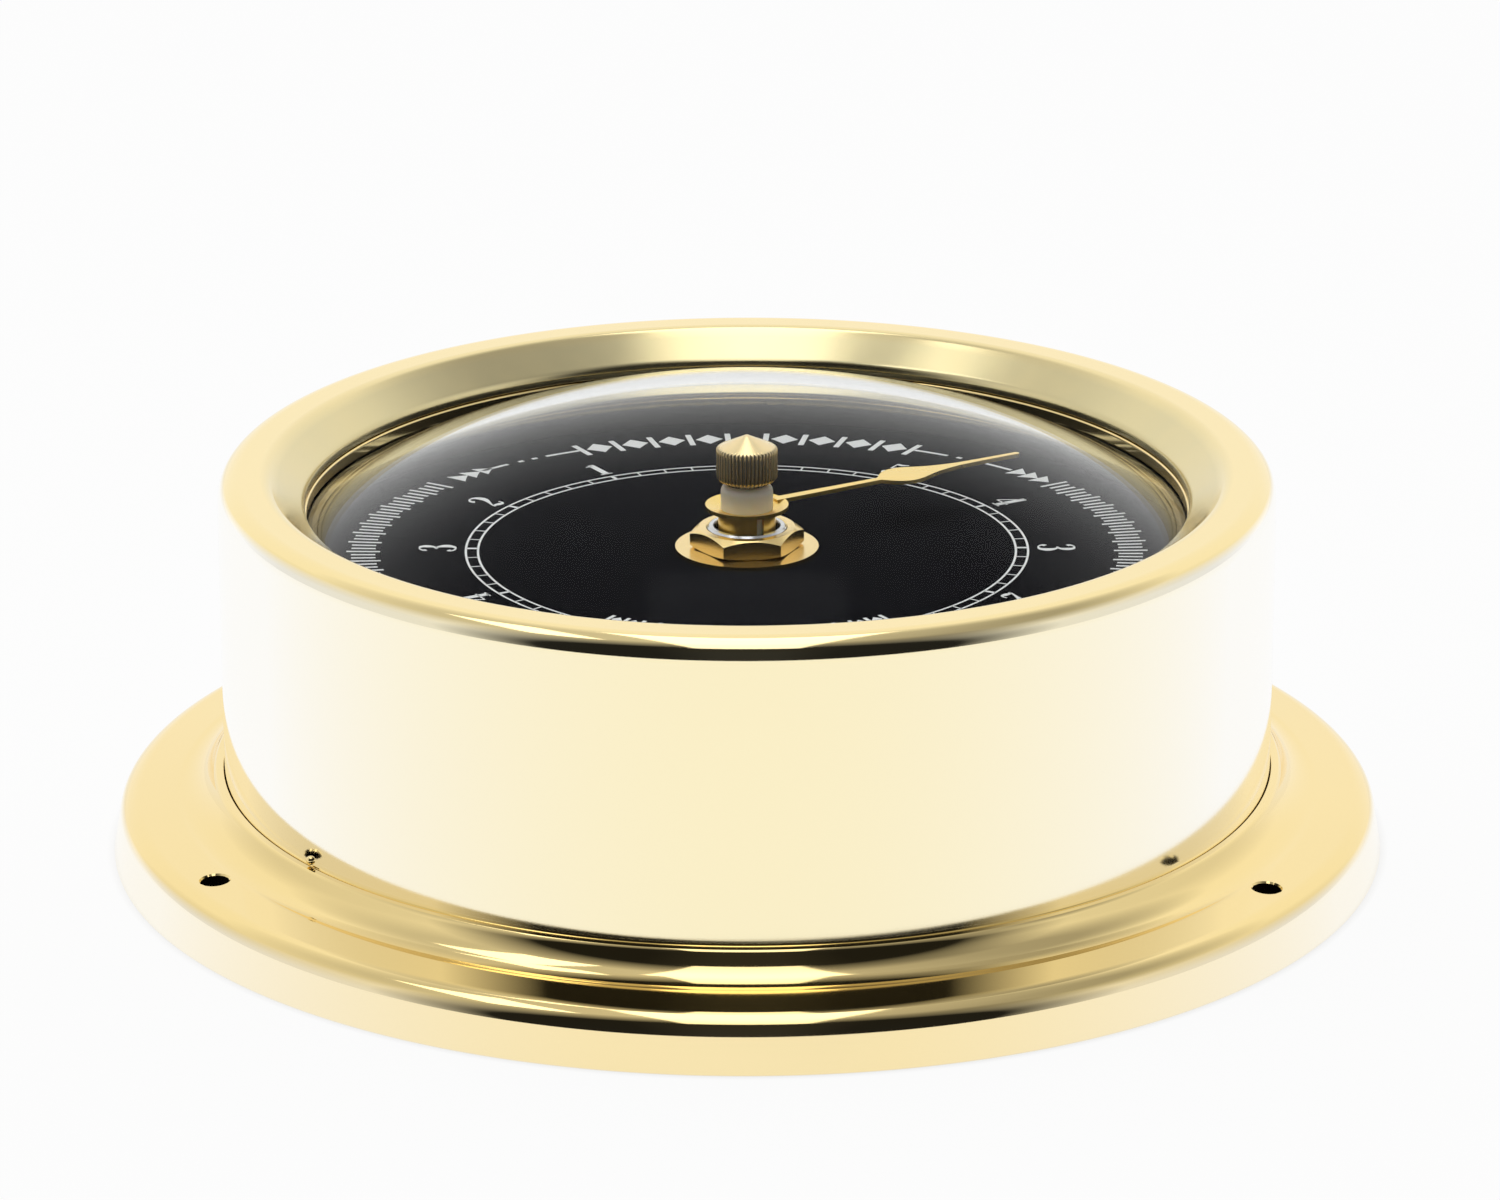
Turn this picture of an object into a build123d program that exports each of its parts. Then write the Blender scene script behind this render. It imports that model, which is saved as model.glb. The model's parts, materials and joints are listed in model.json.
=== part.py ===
from build123d import *
import os
from math import cos, radians, sin, sqrt

# A round wall and desk tide clock: a flanged base, a push-fit drum with a sunk, domed glass, and a
# black dial on pillars with one tide hand, its setting knob and a battery movement behind.
# All lengths are in millimetres and all turns in degrees. The mounting face is z = 0 with its centre
# at the origin. +Z leaves the dial, +Y points to the top of the dial and +X to its right.

# Clearances, and the overrun that every cut runs past the material
seat_gap = 0.3
axial_gap = 0.1
running_gap = 0.05
slide_gap = 0.08
press_gap = 0.02
thread_gap = 0.04
overrun = 1.0

# Flanged base
base_radius = 85.0
base_skirt_lean = 1.3
flange_width = 13.6
flange_top = 7.4
flange_edge_rounding = 2.5
flange_web = 1.8
neck_rise = 3.9
neck_collar = 1.0
neck_wall = 1.32
neck_cone_width = 3.6
neck_collar_rounding = 1.2
neck_cone_rounding = 3.0
neck_foot_wall = 1.6
skirt_wall = 1.8
ledge_width = 4.0
ledge_top = 5.0
mount_inset = 6.5
mount_hole_radius = 1.9
mount_hole_bevel = 0.2
mount_hole_turns = (88.6, 208.6, 328.6)

# Back plate and its screws
back_plate_thickness = 1.5
back_plate_sink = 0.3
back_plate_fit = 0.1
plate_screw_inset = 2.4
plate_screw_radius = 1.0
plate_screw_head_radius = 1.9
plate_screw_length = 3.9
plate_screw_count = 4
screw_slot_width = 0.6
screw_slot_depth = 0.45

# Case drum, a thin pressed wall whose top rolls inwards to a lip
drum_wall = 1.5
drum_outer_rounding = 2.6
drum_inner_rounding = 2.0
crest_width = 6.5
cone_width = 5.0
cone_rise = 4.53
lip_rise = 7.15
lip_edge = 0.32
lip_rounding = 0.55
lip_foot_width = 3.5
seal_thickness = 0.8
seal_width = 3.5
index_pin_radius = 0.6
index_pin_rise = 0.6
index_pin_head = 0.55
index_pin_turn = -143.4

# Glass, what holds it, and the black wall ring below it
glass_thickness = 2.0
glass_headroom = 1.9
glass_lap = 2.5
glass_play = 0.05
glass_ring_reveal = 0.2
glass_ring_drop = 0.45
glass_ring_foot_width = 1.5
rehaut_reveal = 0.3
rehaut_edge = 0.67
snap_wire_radius = 0.4
snap_groove_depth = 0.6
snap_split_turn = 8.0

# Dial and its carrier
dial_top = 39.7
dial_thickness = 1.0
dial_overlap = 4.5
carrier_thickness = 2.0
carrier_inset = 2.5
cushion_thickness = 0.8
cushion_inset = 3.0
pillar_inset = 8.0
pillar_across_flats = 6.0
pillar_turns = (30.0, 150.0, 270.0)
pillar_screw_radius = 1.5
pillar_screw_head_radius = 2.75
pillar_screw_length = 8.0
pillar_thread_depth = 9.0

# Movement case, which is as wide and deep as what it holds needs
movement_roof = 1.2
movement_wall = 1.4
cover_fit = 0.1
divider_gap = 1.32
divider_thickness = 2.0
bay_wall = 1.8
bay_roof = 1.0
bay_front_wall = 1.6
boss_inset = 3.6
boss_radius = 2.9
boss_step_radius = 1.9
cover_thickness = 1.2
cover_screw_radius = 0.8
cover_screw_head_radius = 1.6
cover_screw_head = 0.8
cover_screw_length = 5.0
train_plate_thickness = 0.8
train_plate_drop = 4.7
train_plate_margin = 1.0
pivot_depth = 0.8

# Battery, of the common long round kind, and its contacts
battery_radius = 7.25
battery_length = 50.5
battery_nub_radius = 2.75
battery_nub = 1.0
battery_rounding = 0.6
battery_play = 0.45
battery_cover_gap = 0.2
contact_thickness = 0.4
contact_width = 8.0
contact_height = 11.0
contact_rise = 1.1
contact_bump_radius = 3.0
contact_bump_tip_radius = 1.2

# Hub on the dial: threaded bush, washer and nut
bush_wall = 0.9
bush_flange_width = 1.25
bush_flange = 0.8
bush_rise = 3.3
bush_mouth_gap = 0.55
bush_mouth_depth = 2.0
washer_reveal = 1.9
washer_thickness = 0.5
nut_wall = 1.33
nut_thickness = 2.6
nut_chamfer = 0.6
nut_turn = 6.0

# Hour pipe and tide hand
pipe_wall = 1.4
pipe_rise = 8.9
pipe_rounding = 1.0
collet_wall = 0.33
hand_rise = 5.9
hand_thickness = 0.5
hand_dish = 0.5
hand_disc_width = 1.7
hand_root_gap = 0.5
hand_tip_gap = 14.9
hand_turn = 31.5
hand_leaf_width = 5.9
collet_slot_width = 1.0
collet_slot_turn = -62.0
collet_slot_depth = 2.2
# Shares of the hand's length beyond its root, and of the leaf's half width
hand_arm_shares = ((0.0, 0.25), (0.222, 0.215), (0.424, 0.17))
hand_leaf_shares = (
    (0.424, 0.17),
    (0.450, 0.55),
    (0.483, 0.88),
    (0.528, 1.0),
    (0.574, 0.85),
    (0.623, 0.57),
    (0.676, 0.37),
    (0.750, 0.20),
)
hand_point_shares = ((0.750, 0.20), (0.844, 0.155), (0.983, 0.145))

# Setting arbor and its knurled knob
arbor_radius = 2.0
arbor_tip_step = 0.5
arbor_tip = 3.0
arbor_pivot_radius = 0.8
knob_radius = 4.05
knob_gap_below = 0.6
knob_collar_wall = 0.88
knob_height = 4.1
knob_chamfer = 0.35
knob_cone = 1.75
knob_shoulder = 0.4
flute_count = 40
flute_depth = 0.2

# Wheels: tooth shape as shares of the module and of the tooth pitch
addendum_share = 0.8
dedendum_share = 1.1
tooth_tip_share = 0.10
tooth_root_share = 0.30
motion_module = 0.36
going_module = 0.24
staff_radius = 0.4
wheel_thickness = 0.6
pinion_thickness = 1.0
hub_radius = 1.6
motion_wheel_thickness = 0.8
cannon_teeth = 10
motion_teeth = 30
motion_pinion_teeth = 8
hour_teeth = 32
setter_teeth = 12
motion_turn = 135.0
setter_turn = 150.0
setter_staff_radius = 1.0
setter_wheel_radius = 6.0
setter_wheel_thickness = 1.8
setter_wheel_gap = 0.2
setter_flute_count = 24
setter_flute_depth = 0.35
centre_teeth = 64
third_pinion_teeth = 8
third_teeth = 60
fourth_pinion_teeth = 8
fourth_teeth = 50
fifth_pinion_teeth = 10
fifth_teeth = 48
rotor_teeth = 8
third_turn = 10.0
fourth_turn = 60.0
fifth_turn = 130.0
rotor_turn = 150.0
centre_wheel_drop = 0.4
wheel_step = 1.8
magnet_radius = 2.5
magnet_thickness = 1.6
magnet_drop = 0.2

# Coil, its core plate and the electronics
stator_thickness = 1.0
stator_rise = 1.1
stator_hole_gap = 0.4
stator_head_wall = 2.3
stator_head_gap = 0.6
stator_head_rise = 4.56
stator_clearance = 0.8
stator_bar_width = 2.0
stator_bar_gap = 4.0
coil_length = 16.0
coil_width = 7.4
coil_height = 3.0
coil_rounding = 1.1
coil_head_gap = 0.94
coil_end_gap = 0.5
coil_wall_gap = 0.9
board_width = 12.0
board_staff_gap = 1.36
board_wall_gap = 0.6
board_boss_gap = 0.5
board_stator_gap = 1.0
board_thickness = 1.0
board_rise = 1.3
board_post_radius = 1.2
chip_size = 4.0
chip_thickness = 1.2
crystal_radius = 1.0
crystal_length = 6.0
# Places on the board, as shares of its length and width
chip_share = (0.48, 0.46)
crystal_share = (0.72, 0.50)
board_post_shares = ((0.25, 0.2), (0.85, 0.8))


def beside(place, distance, turn):
    """The point at a distance and turn from another point"""
    return (place[0] + distance * cos(radians(turn)), place[1] + distance * sin(radians(turn)))


def centre_distance(teeth, partner_teeth, module):
    """How far apart the shafts of two meshed wheels stand"""
    return (teeth + partner_teeth) * module / 2


def meshed_phase(phase, teeth, turn, partner_teeth):
    """The phase that puts a partner's gap on this wheel's tooth, the partner standing at a turn"""
    share = ((turn - phase) * teeth / 360) % 1
    return turn + 180 - (0.5 - share) * 360 / partner_teeth


def sphere_through(radius, rise):
    """The radius of a sphere that rises so far over a circle of this radius"""
    return (radius * radius + rise * rise) / (2 * rise)


# Radii that follow from the base's, from the outside in
neck_radius = base_radius - flange_width
mount_circle_radius = base_radius - mount_inset
plate_screw_circle = neck_radius - plate_screw_inset
back_plate_radius = neck_radius + seat_gap
plate_recess_radius = back_plate_radius + back_plate_fit
neck_foot_radius = neck_radius + neck_foot_wall
neck_bore_radius = neck_radius - neck_wall
groove_outer_radius = base_radius - skirt_wall
drum_radius = neck_bore_radius - slide_gap
drum_bore_radius = drum_radius - drum_wall
inner_ring_radius = drum_bore_radius - running_gap
ledge_inner_radius = drum_radius - ledge_width
crest_inner_radius = drum_radius - crest_width
lip_radius = crest_inner_radius - cone_width
lip_foot_radius = lip_radius + lip_foot_width
glass_radius = lip_radius + glass_lap
glass_ring_radius = lip_radius - glass_ring_reveal
glass_ring_foot = lip_foot_radius - glass_ring_foot_width
rehaut_radius = glass_ring_radius - rehaut_reveal
dial_radius = rehaut_radius + dial_overlap
carrier_radius = dial_radius - carrier_inset
pillar_circle = carrier_radius - pillar_inset
hand_length = rehaut_radius - hand_tip_gap

# Radii round the arbor, from the inside out
pipe_bore_radius = arbor_radius + running_gap
pipe_radius = pipe_bore_radius + pipe_wall
collet_bore_radius = pipe_radius + press_gap
collet_radius = collet_bore_radius + collet_wall
hand_disc_radius = collet_radius + hand_disc_width
hand_root = collet_radius + hand_root_gap
bush_bore_radius = pipe_radius + running_gap
bush_mouth_radius = collet_radius + bush_mouth_gap
bush_radius = bush_mouth_radius + bush_wall
bush_flange_radius = bush_radius + bush_flange_width
nut_corner_radius = (bush_radius + nut_wall) / cos(radians(30))
washer_radius = nut_corner_radius + washer_reveal
arbor_tip_radius = arbor_radius - arbor_tip_step
knob_bore_radius = arbor_tip_radius + press_gap
knob_collar_radius = knob_bore_radius + knob_collar_wall
knob_cone_radius = knob_radius - knob_shoulder

# Where the shafts stand, each beside the one that it meshes with
middle = (0.0, 0.0)
motion_place = beside(middle, centre_distance(cannon_teeth, motion_teeth, motion_module), motion_turn)
setter_place = beside(
    motion_place, centre_distance(motion_teeth, setter_teeth, motion_module), setter_turn
)
third_place = beside(middle, centre_distance(centre_teeth, third_pinion_teeth, going_module), third_turn)
fourth_place = beside(
    third_place, centre_distance(third_teeth, fourth_pinion_teeth, going_module), fourth_turn
)
fifth_place = beside(
    fourth_place, centre_distance(fourth_teeth, fifth_pinion_teeth, going_module), fifth_turn
)
rotor_place = beside(fifth_place, centre_distance(fifth_teeth, rotor_teeth, going_module), rotor_turn)

# The core plate, coil and board, beside the rotor and the setting staff
stator_hole_radius = magnet_radius + stator_hole_gap
stator_head = stator_hole_radius + stator_head_wall
stator_head_right = fifth_place[0] - staff_radius - stator_head_gap
coil_line = rotor_place[1] + stator_head_rise
coil_right = rotor_place[0] - stator_head - coil_head_gap
coil_left = coil_right - coil_length
stator_left = coil_left - coil_end_gap - stator_bar_width
stator_return_line = coil_line - stator_bar_width - stator_bar_gap
board_right = setter_place[0] - setter_staff_radius - board_staff_gap
board_left = board_right - board_width
board_high = stator_return_line - stator_bar_width / 2 - board_stator_gap

# The movement case's sides, round the train, the board and the battery
bay_half = (battery_length + contact_rise) / 2 + contact_thickness
movement_half = max(
    bay_half + bay_wall,
    board_wall_gap + movement_wall - board_left,
    boss_inset + boss_step_radius - stator_left,
)
cavity_half = movement_half - movement_wall
cavity_rear = coil_line + coil_width / 2 + coil_wall_gap
movement_rear = cavity_rear + movement_wall
divider_top = -(centre_teeth * going_module / 2 + divider_gap)
bay_high = divider_top - divider_thickness
bay_low = bay_high - 2 * (battery_radius + battery_play)
movement_front = bay_low - bay_front_wall
boss_side = movement_half - boss_inset
boss_front = divider_top + boss_inset - movement_wall
boss_places = (
    (-boss_side, movement_rear - boss_inset),
    (boss_side, movement_rear - boss_inset),
    (-boss_side, boss_front),
    (boss_side, boss_front),
)
board_low = boss_front + boss_step_radius + board_boss_gap

# Heights that follow from the base's and the dial's
back_plate_top = back_plate_sink + back_plate_thickness
neck_top = flange_top + neck_rise
drum_bottom = ledge_top + seal_thickness
rehaut_bottom = dial_top + seat_gap
rehaut_outer_top = rehaut_bottom + rehaut_edge
lip_bottom = dial_top + lip_rise
lip_corner = lip_bottom + lip_edge
drum_crest = lip_corner + cone_rise
washer_top = dial_top + washer_thickness
bush_top = dial_top + bush_rise
pipe_top = dial_top + pipe_rise
hand_top = dial_top + hand_rise + hand_thickness / 2
hand_bottom = hand_top - hand_thickness
knob_bottom = pipe_top + knob_gap_below
knob_tip = knob_bottom + knob_height + knob_cone
carrier_top = dial_top - dial_thickness
carrier_bottom = carrier_top - carrier_thickness
movement_top = carrier_bottom - cushion_thickness

# The glass clears the knob's tip and rests just above the wall ring, and its ring presses it down
glass_inner_apex = knob_tip + glass_headroom
glass_apex = glass_inner_apex + glass_thickness
glass_edge = rehaut_outer_top + 2 * glass_play
glass_inner_sphere = sphere_through(glass_radius, glass_inner_apex - glass_edge)
glass_outer_sphere = glass_inner_sphere + glass_thickness
glass_centre = glass_apex - glass_outer_sphere
glass_ring_top = lip_bottom - glass_ring_drop

# Heights inside the movement, down from its top
train_top = movement_top - movement_roof
train_plate_top = movement_top - train_plate_drop
train_plate_bottom = train_plate_top - train_plate_thickness
bay_top = movement_top - bay_roof
bush_bottom = train_top - bush_flange
hour_wheel_top = bush_bottom - axial_gap
hour_wheel_bottom = hour_wheel_top - motion_wheel_thickness
motion_wheel_top = hour_wheel_bottom - seat_gap - axial_gap
motion_wheel_bottom = motion_wheel_top - motion_wheel_thickness
cannon_bottom = motion_wheel_bottom - axial_gap
cannon_top = motion_wheel_top + axial_gap
centre_wheel_top = train_plate_bottom - centre_wheel_drop
fifth_wheel_low = centre_wheel_top - wheel_thickness - 3 * wheel_step
stator_low = fifth_wheel_low - stator_clearance - stator_thickness
battery_low = bay_top - seat_gap - 2 * battery_radius
movement_bottom = min(stator_low - stator_rise - cover_thickness, battery_low - battery_cover_gap)
cover_top = movement_bottom + cover_thickness

# The turn of each wheel at rest, worked out along the two trains
cannon_phase = motion_turn
motion_phase = meshed_phase(cannon_phase, cannon_teeth, motion_turn, motion_teeth)
motion_pinion_phase = motion_turn + 180
hour_phase = meshed_phase(motion_pinion_phase, motion_pinion_teeth, motion_turn + 180, hour_teeth)
setter_phase = meshed_phase(motion_phase, motion_teeth, setter_turn, setter_teeth)
centre_phase = third_turn
third_pinion_phase = meshed_phase(centre_phase, centre_teeth, third_turn, third_pinion_teeth)
third_phase = fourth_turn
fourth_pinion_phase = meshed_phase(third_phase, third_teeth, fourth_turn, fourth_pinion_teeth)
fourth_phase = fifth_turn
fifth_pinion_phase = meshed_phase(fourth_phase, fourth_teeth, fifth_turn, fifth_pinion_teeth)
fifth_phase = rotor_turn
rotor_phase = meshed_phase(fifth_phase, fifth_teeth, rotor_turn, rotor_teeth)


def rod(radius, low, high, place=middle):
    """A round bar along Z"""
    return Pos(place[0], place[1], low) * extrude(Circle(radius), high - low)


def tube(outer, inner, low, high, place=middle):
    """A round tube along Z"""
    return rod(outer, low, high, place) - rod(inner, low - overrun, high + overrun, place)


def block(x_span, y_span, z_span):
    """A box between three pairs of sides"""
    size = (x_span[1] - x_span[0], y_span[1] - y_span[0], z_span[1] - z_span[0])
    at = ((x_span[0] + x_span[1]) / 2, (y_span[0] + y_span[1]) / 2, (z_span[0] + z_span[1]) / 2)
    return Pos(*at) * Box(*size)


def turned(points, roundings=None, turn=360.0):
    """A closed outline of (radius, height) corners, some of them rounded, turned about Z"""
    if roundings is None:
        outline = Polyline(*points, close=True)
    else:
        radii = [roundings.get(corner, 0.0) for corner in range(len(points))]
        outline = FilletPolyline(*points, radius=radii, close=True)
    return revolve(Plane.XZ * make_face(outline), Axis.Z, turn)


def countersunk_screw(radius, head_radius, length):
    """A slotted countersunk screw, its head's flat on z = 0 and its shank along +Z"""
    cone = head_radius - radius
    body = turned(((0, 0), (head_radius, 0), (radius, cone), (radius, length), (0, length)))
    slot = Box(2 * head_radius + overrun, screw_slot_width, 2 * screw_slot_depth)
    return body - slot


def countersunk_hole(radius, head_radius, length):
    """The seat of a countersunk screw, wider all round by the thread gap"""
    hole = radius + thread_gap
    mouth = head_radius + thread_gap
    points = (
        (0, -overrun),
        (mouth, -overrun),
        (mouth, 0),
        (hole, mouth - hole),
        (hole, length + thread_gap),
        (0, length + thread_gap),
    )
    return turned(points)


def around(solid, radius, turns, height=0.0):
    """Copies of a solid on a circle about Z"""
    return [Rot(0, 0, turn) * Pos(radius, 0, height) * solid for turn in turns]


def even_turns(count, first=0.0):
    """Evenly spaced turns"""
    return [first + step * 360 / count for step in range(count)]


def toothed(teeth, module, phase, low, high, place=middle):
    """A wheel or pinion with straight-flanked teeth, one of them pointing along its phase"""
    pitch_radius = teeth * module / 2
    root = pitch_radius - dedendum_share * module
    tip = pitch_radius + addendum_share * module
    flank = (
        (root, -tooth_root_share),
        (tip, -tooth_tip_share),
        (tip, tooth_tip_share),
        (root, tooth_root_share),
    )
    points = []
    for tooth_turn in even_turns(teeth, phase):
        for radius, share in flank:
            points.append(beside(middle, radius, tooth_turn + share * 360 / teeth))
    return Pos(place[0], place[1], low) * extrude(make_face(Polyline(*points, close=True)), high - low)


def fluted(radius, depth, count, low, high, place=middle):
    """A short bar whose side has evenly spaced flutes"""
    points = []
    for turn in even_turns(2 * count):
        is_groove = round(turn * count / 180) % 2
        points.append(beside(middle, radius - depth * is_groove, turn))
    return Pos(place[0], place[1], low) * extrude(make_face(Polyline(*points, close=True)), high - low)


def sphere_height(sphere, radius):
    """The height of a sphere about the glass's centre at a distance from the axis"""
    return glass_centre + sqrt(sphere * sphere - radius * radius)


def glass_ring_bottom():
    """The height at which the ring meets the glass"""
    return sphere_height(glass_outer_sphere, glass_ring_radius) + glass_play


def make_flange_base():
    """The flange, its hollow underside, the neck that the drum is pushed into and the ledge"""
    corners = (
        (plate_recess_radius, 0),
        (neck_foot_radius, 0),
        (neck_foot_radius, flange_top - flange_web),
        (groove_outer_radius - base_skirt_lean, flange_top - flange_web),
        (groove_outer_radius, 0),
        (base_radius, 0),
        (base_radius - base_skirt_lean, flange_top),
        (neck_radius + neck_cone_width, flange_top),
        (neck_radius, neck_top - neck_collar),
        (neck_radius, neck_top),
        (neck_bore_radius, neck_top),
        (neck_bore_radius, ledge_top),
        (ledge_inner_radius, ledge_top),
        (ledge_inner_radius, back_plate_top),
        (plate_recess_radius, back_plate_top),
    )
    roundings = {6: flange_edge_rounding, 7: neck_cone_rounding, 8: neck_collar_rounding}
    body = turned(corners, roundings)
    bevelled = turned(
        (
            (0, -overrun),
            (mount_hole_radius, -overrun),
            (mount_hole_radius, flange_top - mount_hole_bevel),
            (mount_hole_radius + mount_hole_bevel + overrun, flange_top + overrun),
            (0, flange_top + overrun),
        )
    )
    for cut in around(bevelled, mount_circle_radius, mount_hole_turns):
        body -= cut
    seat = countersunk_hole(plate_screw_radius, plate_screw_head_radius, plate_screw_length)
    for cut in around(seat, plate_screw_circle, even_turns(plate_screw_count), back_plate_sink):
        body -= cut
    return body


def make_back_plate():
    """The round plate that closes the base from behind"""
    body = rod(back_plate_radius, back_plate_sink, back_plate_top)
    seat = countersunk_hole(plate_screw_radius, plate_screw_head_radius, plate_screw_length)
    for cut in around(seat, plate_screw_circle, even_turns(plate_screw_count), back_plate_sink):
        body -= cut
    seat = countersunk_hole(pillar_screw_radius, pillar_screw_head_radius, pillar_screw_length)
    for cut in around(seat, pillar_circle, pillar_turns, back_plate_sink):
        body -= cut
    return body


def make_back_plate_screws():
    """The screws that hold the back plate to the ledge"""
    screw = countersunk_screw(plate_screw_radius, plate_screw_head_radius, plate_screw_length)
    return around(screw, plate_screw_circle, even_turns(plate_screw_count), back_plate_sink)


def make_pillars():
    """The hexagonal pillars that carry the dial's carrier, tapped at both ends"""
    corner_radius = pillar_across_flats / 2 / cos(radians(30))
    body = extrude(RegularPolygon(corner_radius, 6), carrier_bottom - back_plate_top)
    thread = rod(pillar_screw_radius + thread_gap, -overrun, pillar_thread_depth)
    body -= thread
    body -= Pos(0, 0, carrier_bottom - back_plate_top) * Rot(180, 0, 0) * thread
    return around(body, pillar_circle, pillar_turns, back_plate_top)


def make_pillar_screws_rear():
    """The screws through the back plate into the pillars"""
    screw = countersunk_screw(pillar_screw_radius, pillar_screw_head_radius, pillar_screw_length)
    return around(screw, pillar_circle, pillar_turns, back_plate_sink)


def make_pillar_screws_front():
    """The screws through the carrier into the pillars, hidden by the dial"""
    screw = countersunk_screw(pillar_screw_radius, pillar_screw_head_radius, pillar_screw_length)
    return around(Rot(180, 0, 0) * screw, pillar_circle, pillar_turns, carrier_top)


def make_case_seal():
    """The flat ring that the drum stands on"""
    return tube(drum_radius, drum_radius - seal_width, ledge_top, drum_bottom)


def index_pin_height():
    """The pin stands just above the top of the neck"""
    return neck_top + axial_gap + index_pin_radius


def radial_pin(radius, inner, outer, rounding=0.0):
    """A round pin that points outwards at the index pin's place, its outer end rounded"""
    length = outer - inner
    pin = turned(((0, 0), (radius, 0), (radius, length), (0, length)), {2: rounding})
    return Rot(0, 0, index_pin_turn) * Pos(inner, 0, index_pin_height()) * Rot(0, 90, 0) * pin


def make_case_drum():
    """The drum: wall, rounded crest, inward cone and lip, with a groove for the snap ring"""
    inner_crest = drum_crest - drum_wall
    corners = (
        (drum_bore_radius, drum_bottom),
        (drum_radius, drum_bottom),
        (drum_radius, drum_crest),
        (crest_inner_radius, drum_crest),
        (lip_radius, lip_corner),
        (lip_radius, lip_bottom),
        (lip_foot_radius, lip_bottom),
        (crest_inner_radius + drum_wall, inner_crest),
        (drum_bore_radius, inner_crest),
    )
    roundings = {2: drum_outer_rounding, 3: drum_inner_rounding, 4: lip_rounding, 8: drum_wall / 2}
    body = turned(corners, roundings)
    groove_bottom = rehaut_bottom - 2 * snap_wire_radius - running_gap
    body -= tube(
        drum_bore_radius + snap_groove_depth,
        drum_bore_radius - overrun,
        groove_bottom,
        rehaut_bottom + running_gap,
    )
    body -= radial_pin(index_pin_radius + press_gap, drum_bore_radius - overrun, drum_radius + overrun)
    return body


def make_case_index_pin():
    """The tiny domed pin in the drum's wall"""
    inner = drum_bore_radius + running_gap
    return radial_pin(index_pin_radius, inner, drum_radius + index_pin_rise, index_pin_head)


def make_glass_ring():
    """The polished ring under the lip, which presses the glass down"""
    return turned(
        (
            (glass_ring_radius, glass_ring_bottom()),
            (glass_ring_radius, glass_ring_top),
            (glass_ring_foot, glass_ring_top),
            (glass_ring_foot, lip_bottom),
            (lip_foot_radius, lip_bottom),
            (lip_foot_radius, glass_ring_top),
            (inner_ring_radius, glass_ring_top),
            (inner_ring_radius, glass_ring_bottom()),
        )
    )


def make_domed_glass():
    """The glass: two spheres about one centre"""
    half = glass_radius / 2
    outer_edge = (glass_radius, sphere_height(glass_outer_sphere, glass_radius))
    inner_edge = (glass_radius, sphere_height(glass_inner_sphere, glass_radius))
    outer_middle = (half, sphere_height(glass_outer_sphere, half))
    inner_middle = (half, sphere_height(glass_inner_sphere, half))
    inner_apex = (0, glass_inner_apex)
    outline = ThreePointArc((0, glass_apex), outer_middle, outer_edge)
    outline += Line(outer_edge, inner_edge)
    outline += ThreePointArc(inner_edge, inner_middle, inner_apex)
    outline += Line(inner_apex, (0, glass_apex))
    return revolve(Plane.XZ * make_face(outline), Axis.Z)


def make_glass_gasket():
    """The rubber ring round the edge of the glass"""
    inner = glass_radius + glass_play
    return tube(inner_ring_radius, inner, rehaut_outer_top, glass_ring_bottom())


def make_rehaut_ring():
    """The black ring between the dial and the glass, whose top slopes with the glass"""
    inner_top = sphere_height(glass_inner_sphere, rehaut_radius) - 2 * glass_play
    return turned(
        (
            (rehaut_radius, rehaut_bottom),
            (inner_ring_radius, rehaut_bottom),
            (inner_ring_radius, rehaut_outer_top),
            (glass_radius + glass_play, rehaut_outer_top),
            (rehaut_radius, inner_top),
        )
    )


def make_snap_ring():
    """The split wire ring that holds the glass stack in the drum"""
    centre_radius = drum_bore_radius + snap_groove_depth - snap_wire_radius - running_gap
    wire = Pos(centre_radius, rehaut_bottom - snap_wire_radius) * Circle(snap_wire_radius)
    return revolve(Plane.XZ * wire, Axis.Z, 360 - snap_split_turn)


def make_dial_carrier():
    """The disc that carries the dial and the movement on the pillars"""
    body = tube(carrier_radius, bush_radius + running_gap, carrier_bottom, carrier_top)
    seat = countersunk_hole(pillar_screw_radius, pillar_screw_head_radius, pillar_screw_length)
    for cut in around(Rot(180, 0, 0) * seat, pillar_circle, pillar_turns, carrier_top):
        body -= cut
    return body


def make_dial_plate():
    """The dial"""
    return tube(dial_radius, bush_radius + running_gap, carrier_top, dial_top)


def make_movement_cushion():
    """The thin rubber pad between the movement and the carrier"""
    half = movement_half - cushion_inset
    front = movement_front + cushion_inset
    body = block(
        (-half, half), (front, movement_rear - cushion_inset), (movement_top, carrier_bottom)
    )
    return body - rod(bush_radius + running_gap, movement_top - overrun, carrier_bottom + overrun)


def make_threaded_bush():
    """The flanged bush that clamps movement, carrier and dial together"""
    mouth = bush_top - bush_mouth_depth
    return turned(
        (
            (bush_bore_radius, bush_bottom),
            (bush_flange_radius, bush_bottom),
            (bush_flange_radius, train_top),
            (bush_radius, train_top),
            (bush_radius, bush_top),
            (bush_mouth_radius, bush_top),
            (bush_mouth_radius, mouth),
            (bush_bore_radius, mouth),
        )
    )


def make_hub_washer():
    """The washer on the dial"""
    return tube(washer_radius, bush_radius + running_gap, dial_top, washer_top)


def make_hub_nut():
    """The hexagonal nut, its upper corners chamfered"""
    top = washer_top + nut_thickness
    body = Pos(0, 0, washer_top) * Rot(0, 0, nut_turn) * extrude(
        RegularPolygon(nut_corner_radius, 6), nut_thickness
    )
    chamfered = turned(
        (
            (0, washer_top),
            (nut_corner_radius, washer_top),
            (nut_corner_radius, top - nut_chamfer),
            (nut_corner_radius - 2 * nut_chamfer, top),
            (0, top),
        )
    )
    return (body & chamfered) - rod(bush_radius + thread_gap, washer_top - overrun, top + overrun)


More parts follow.
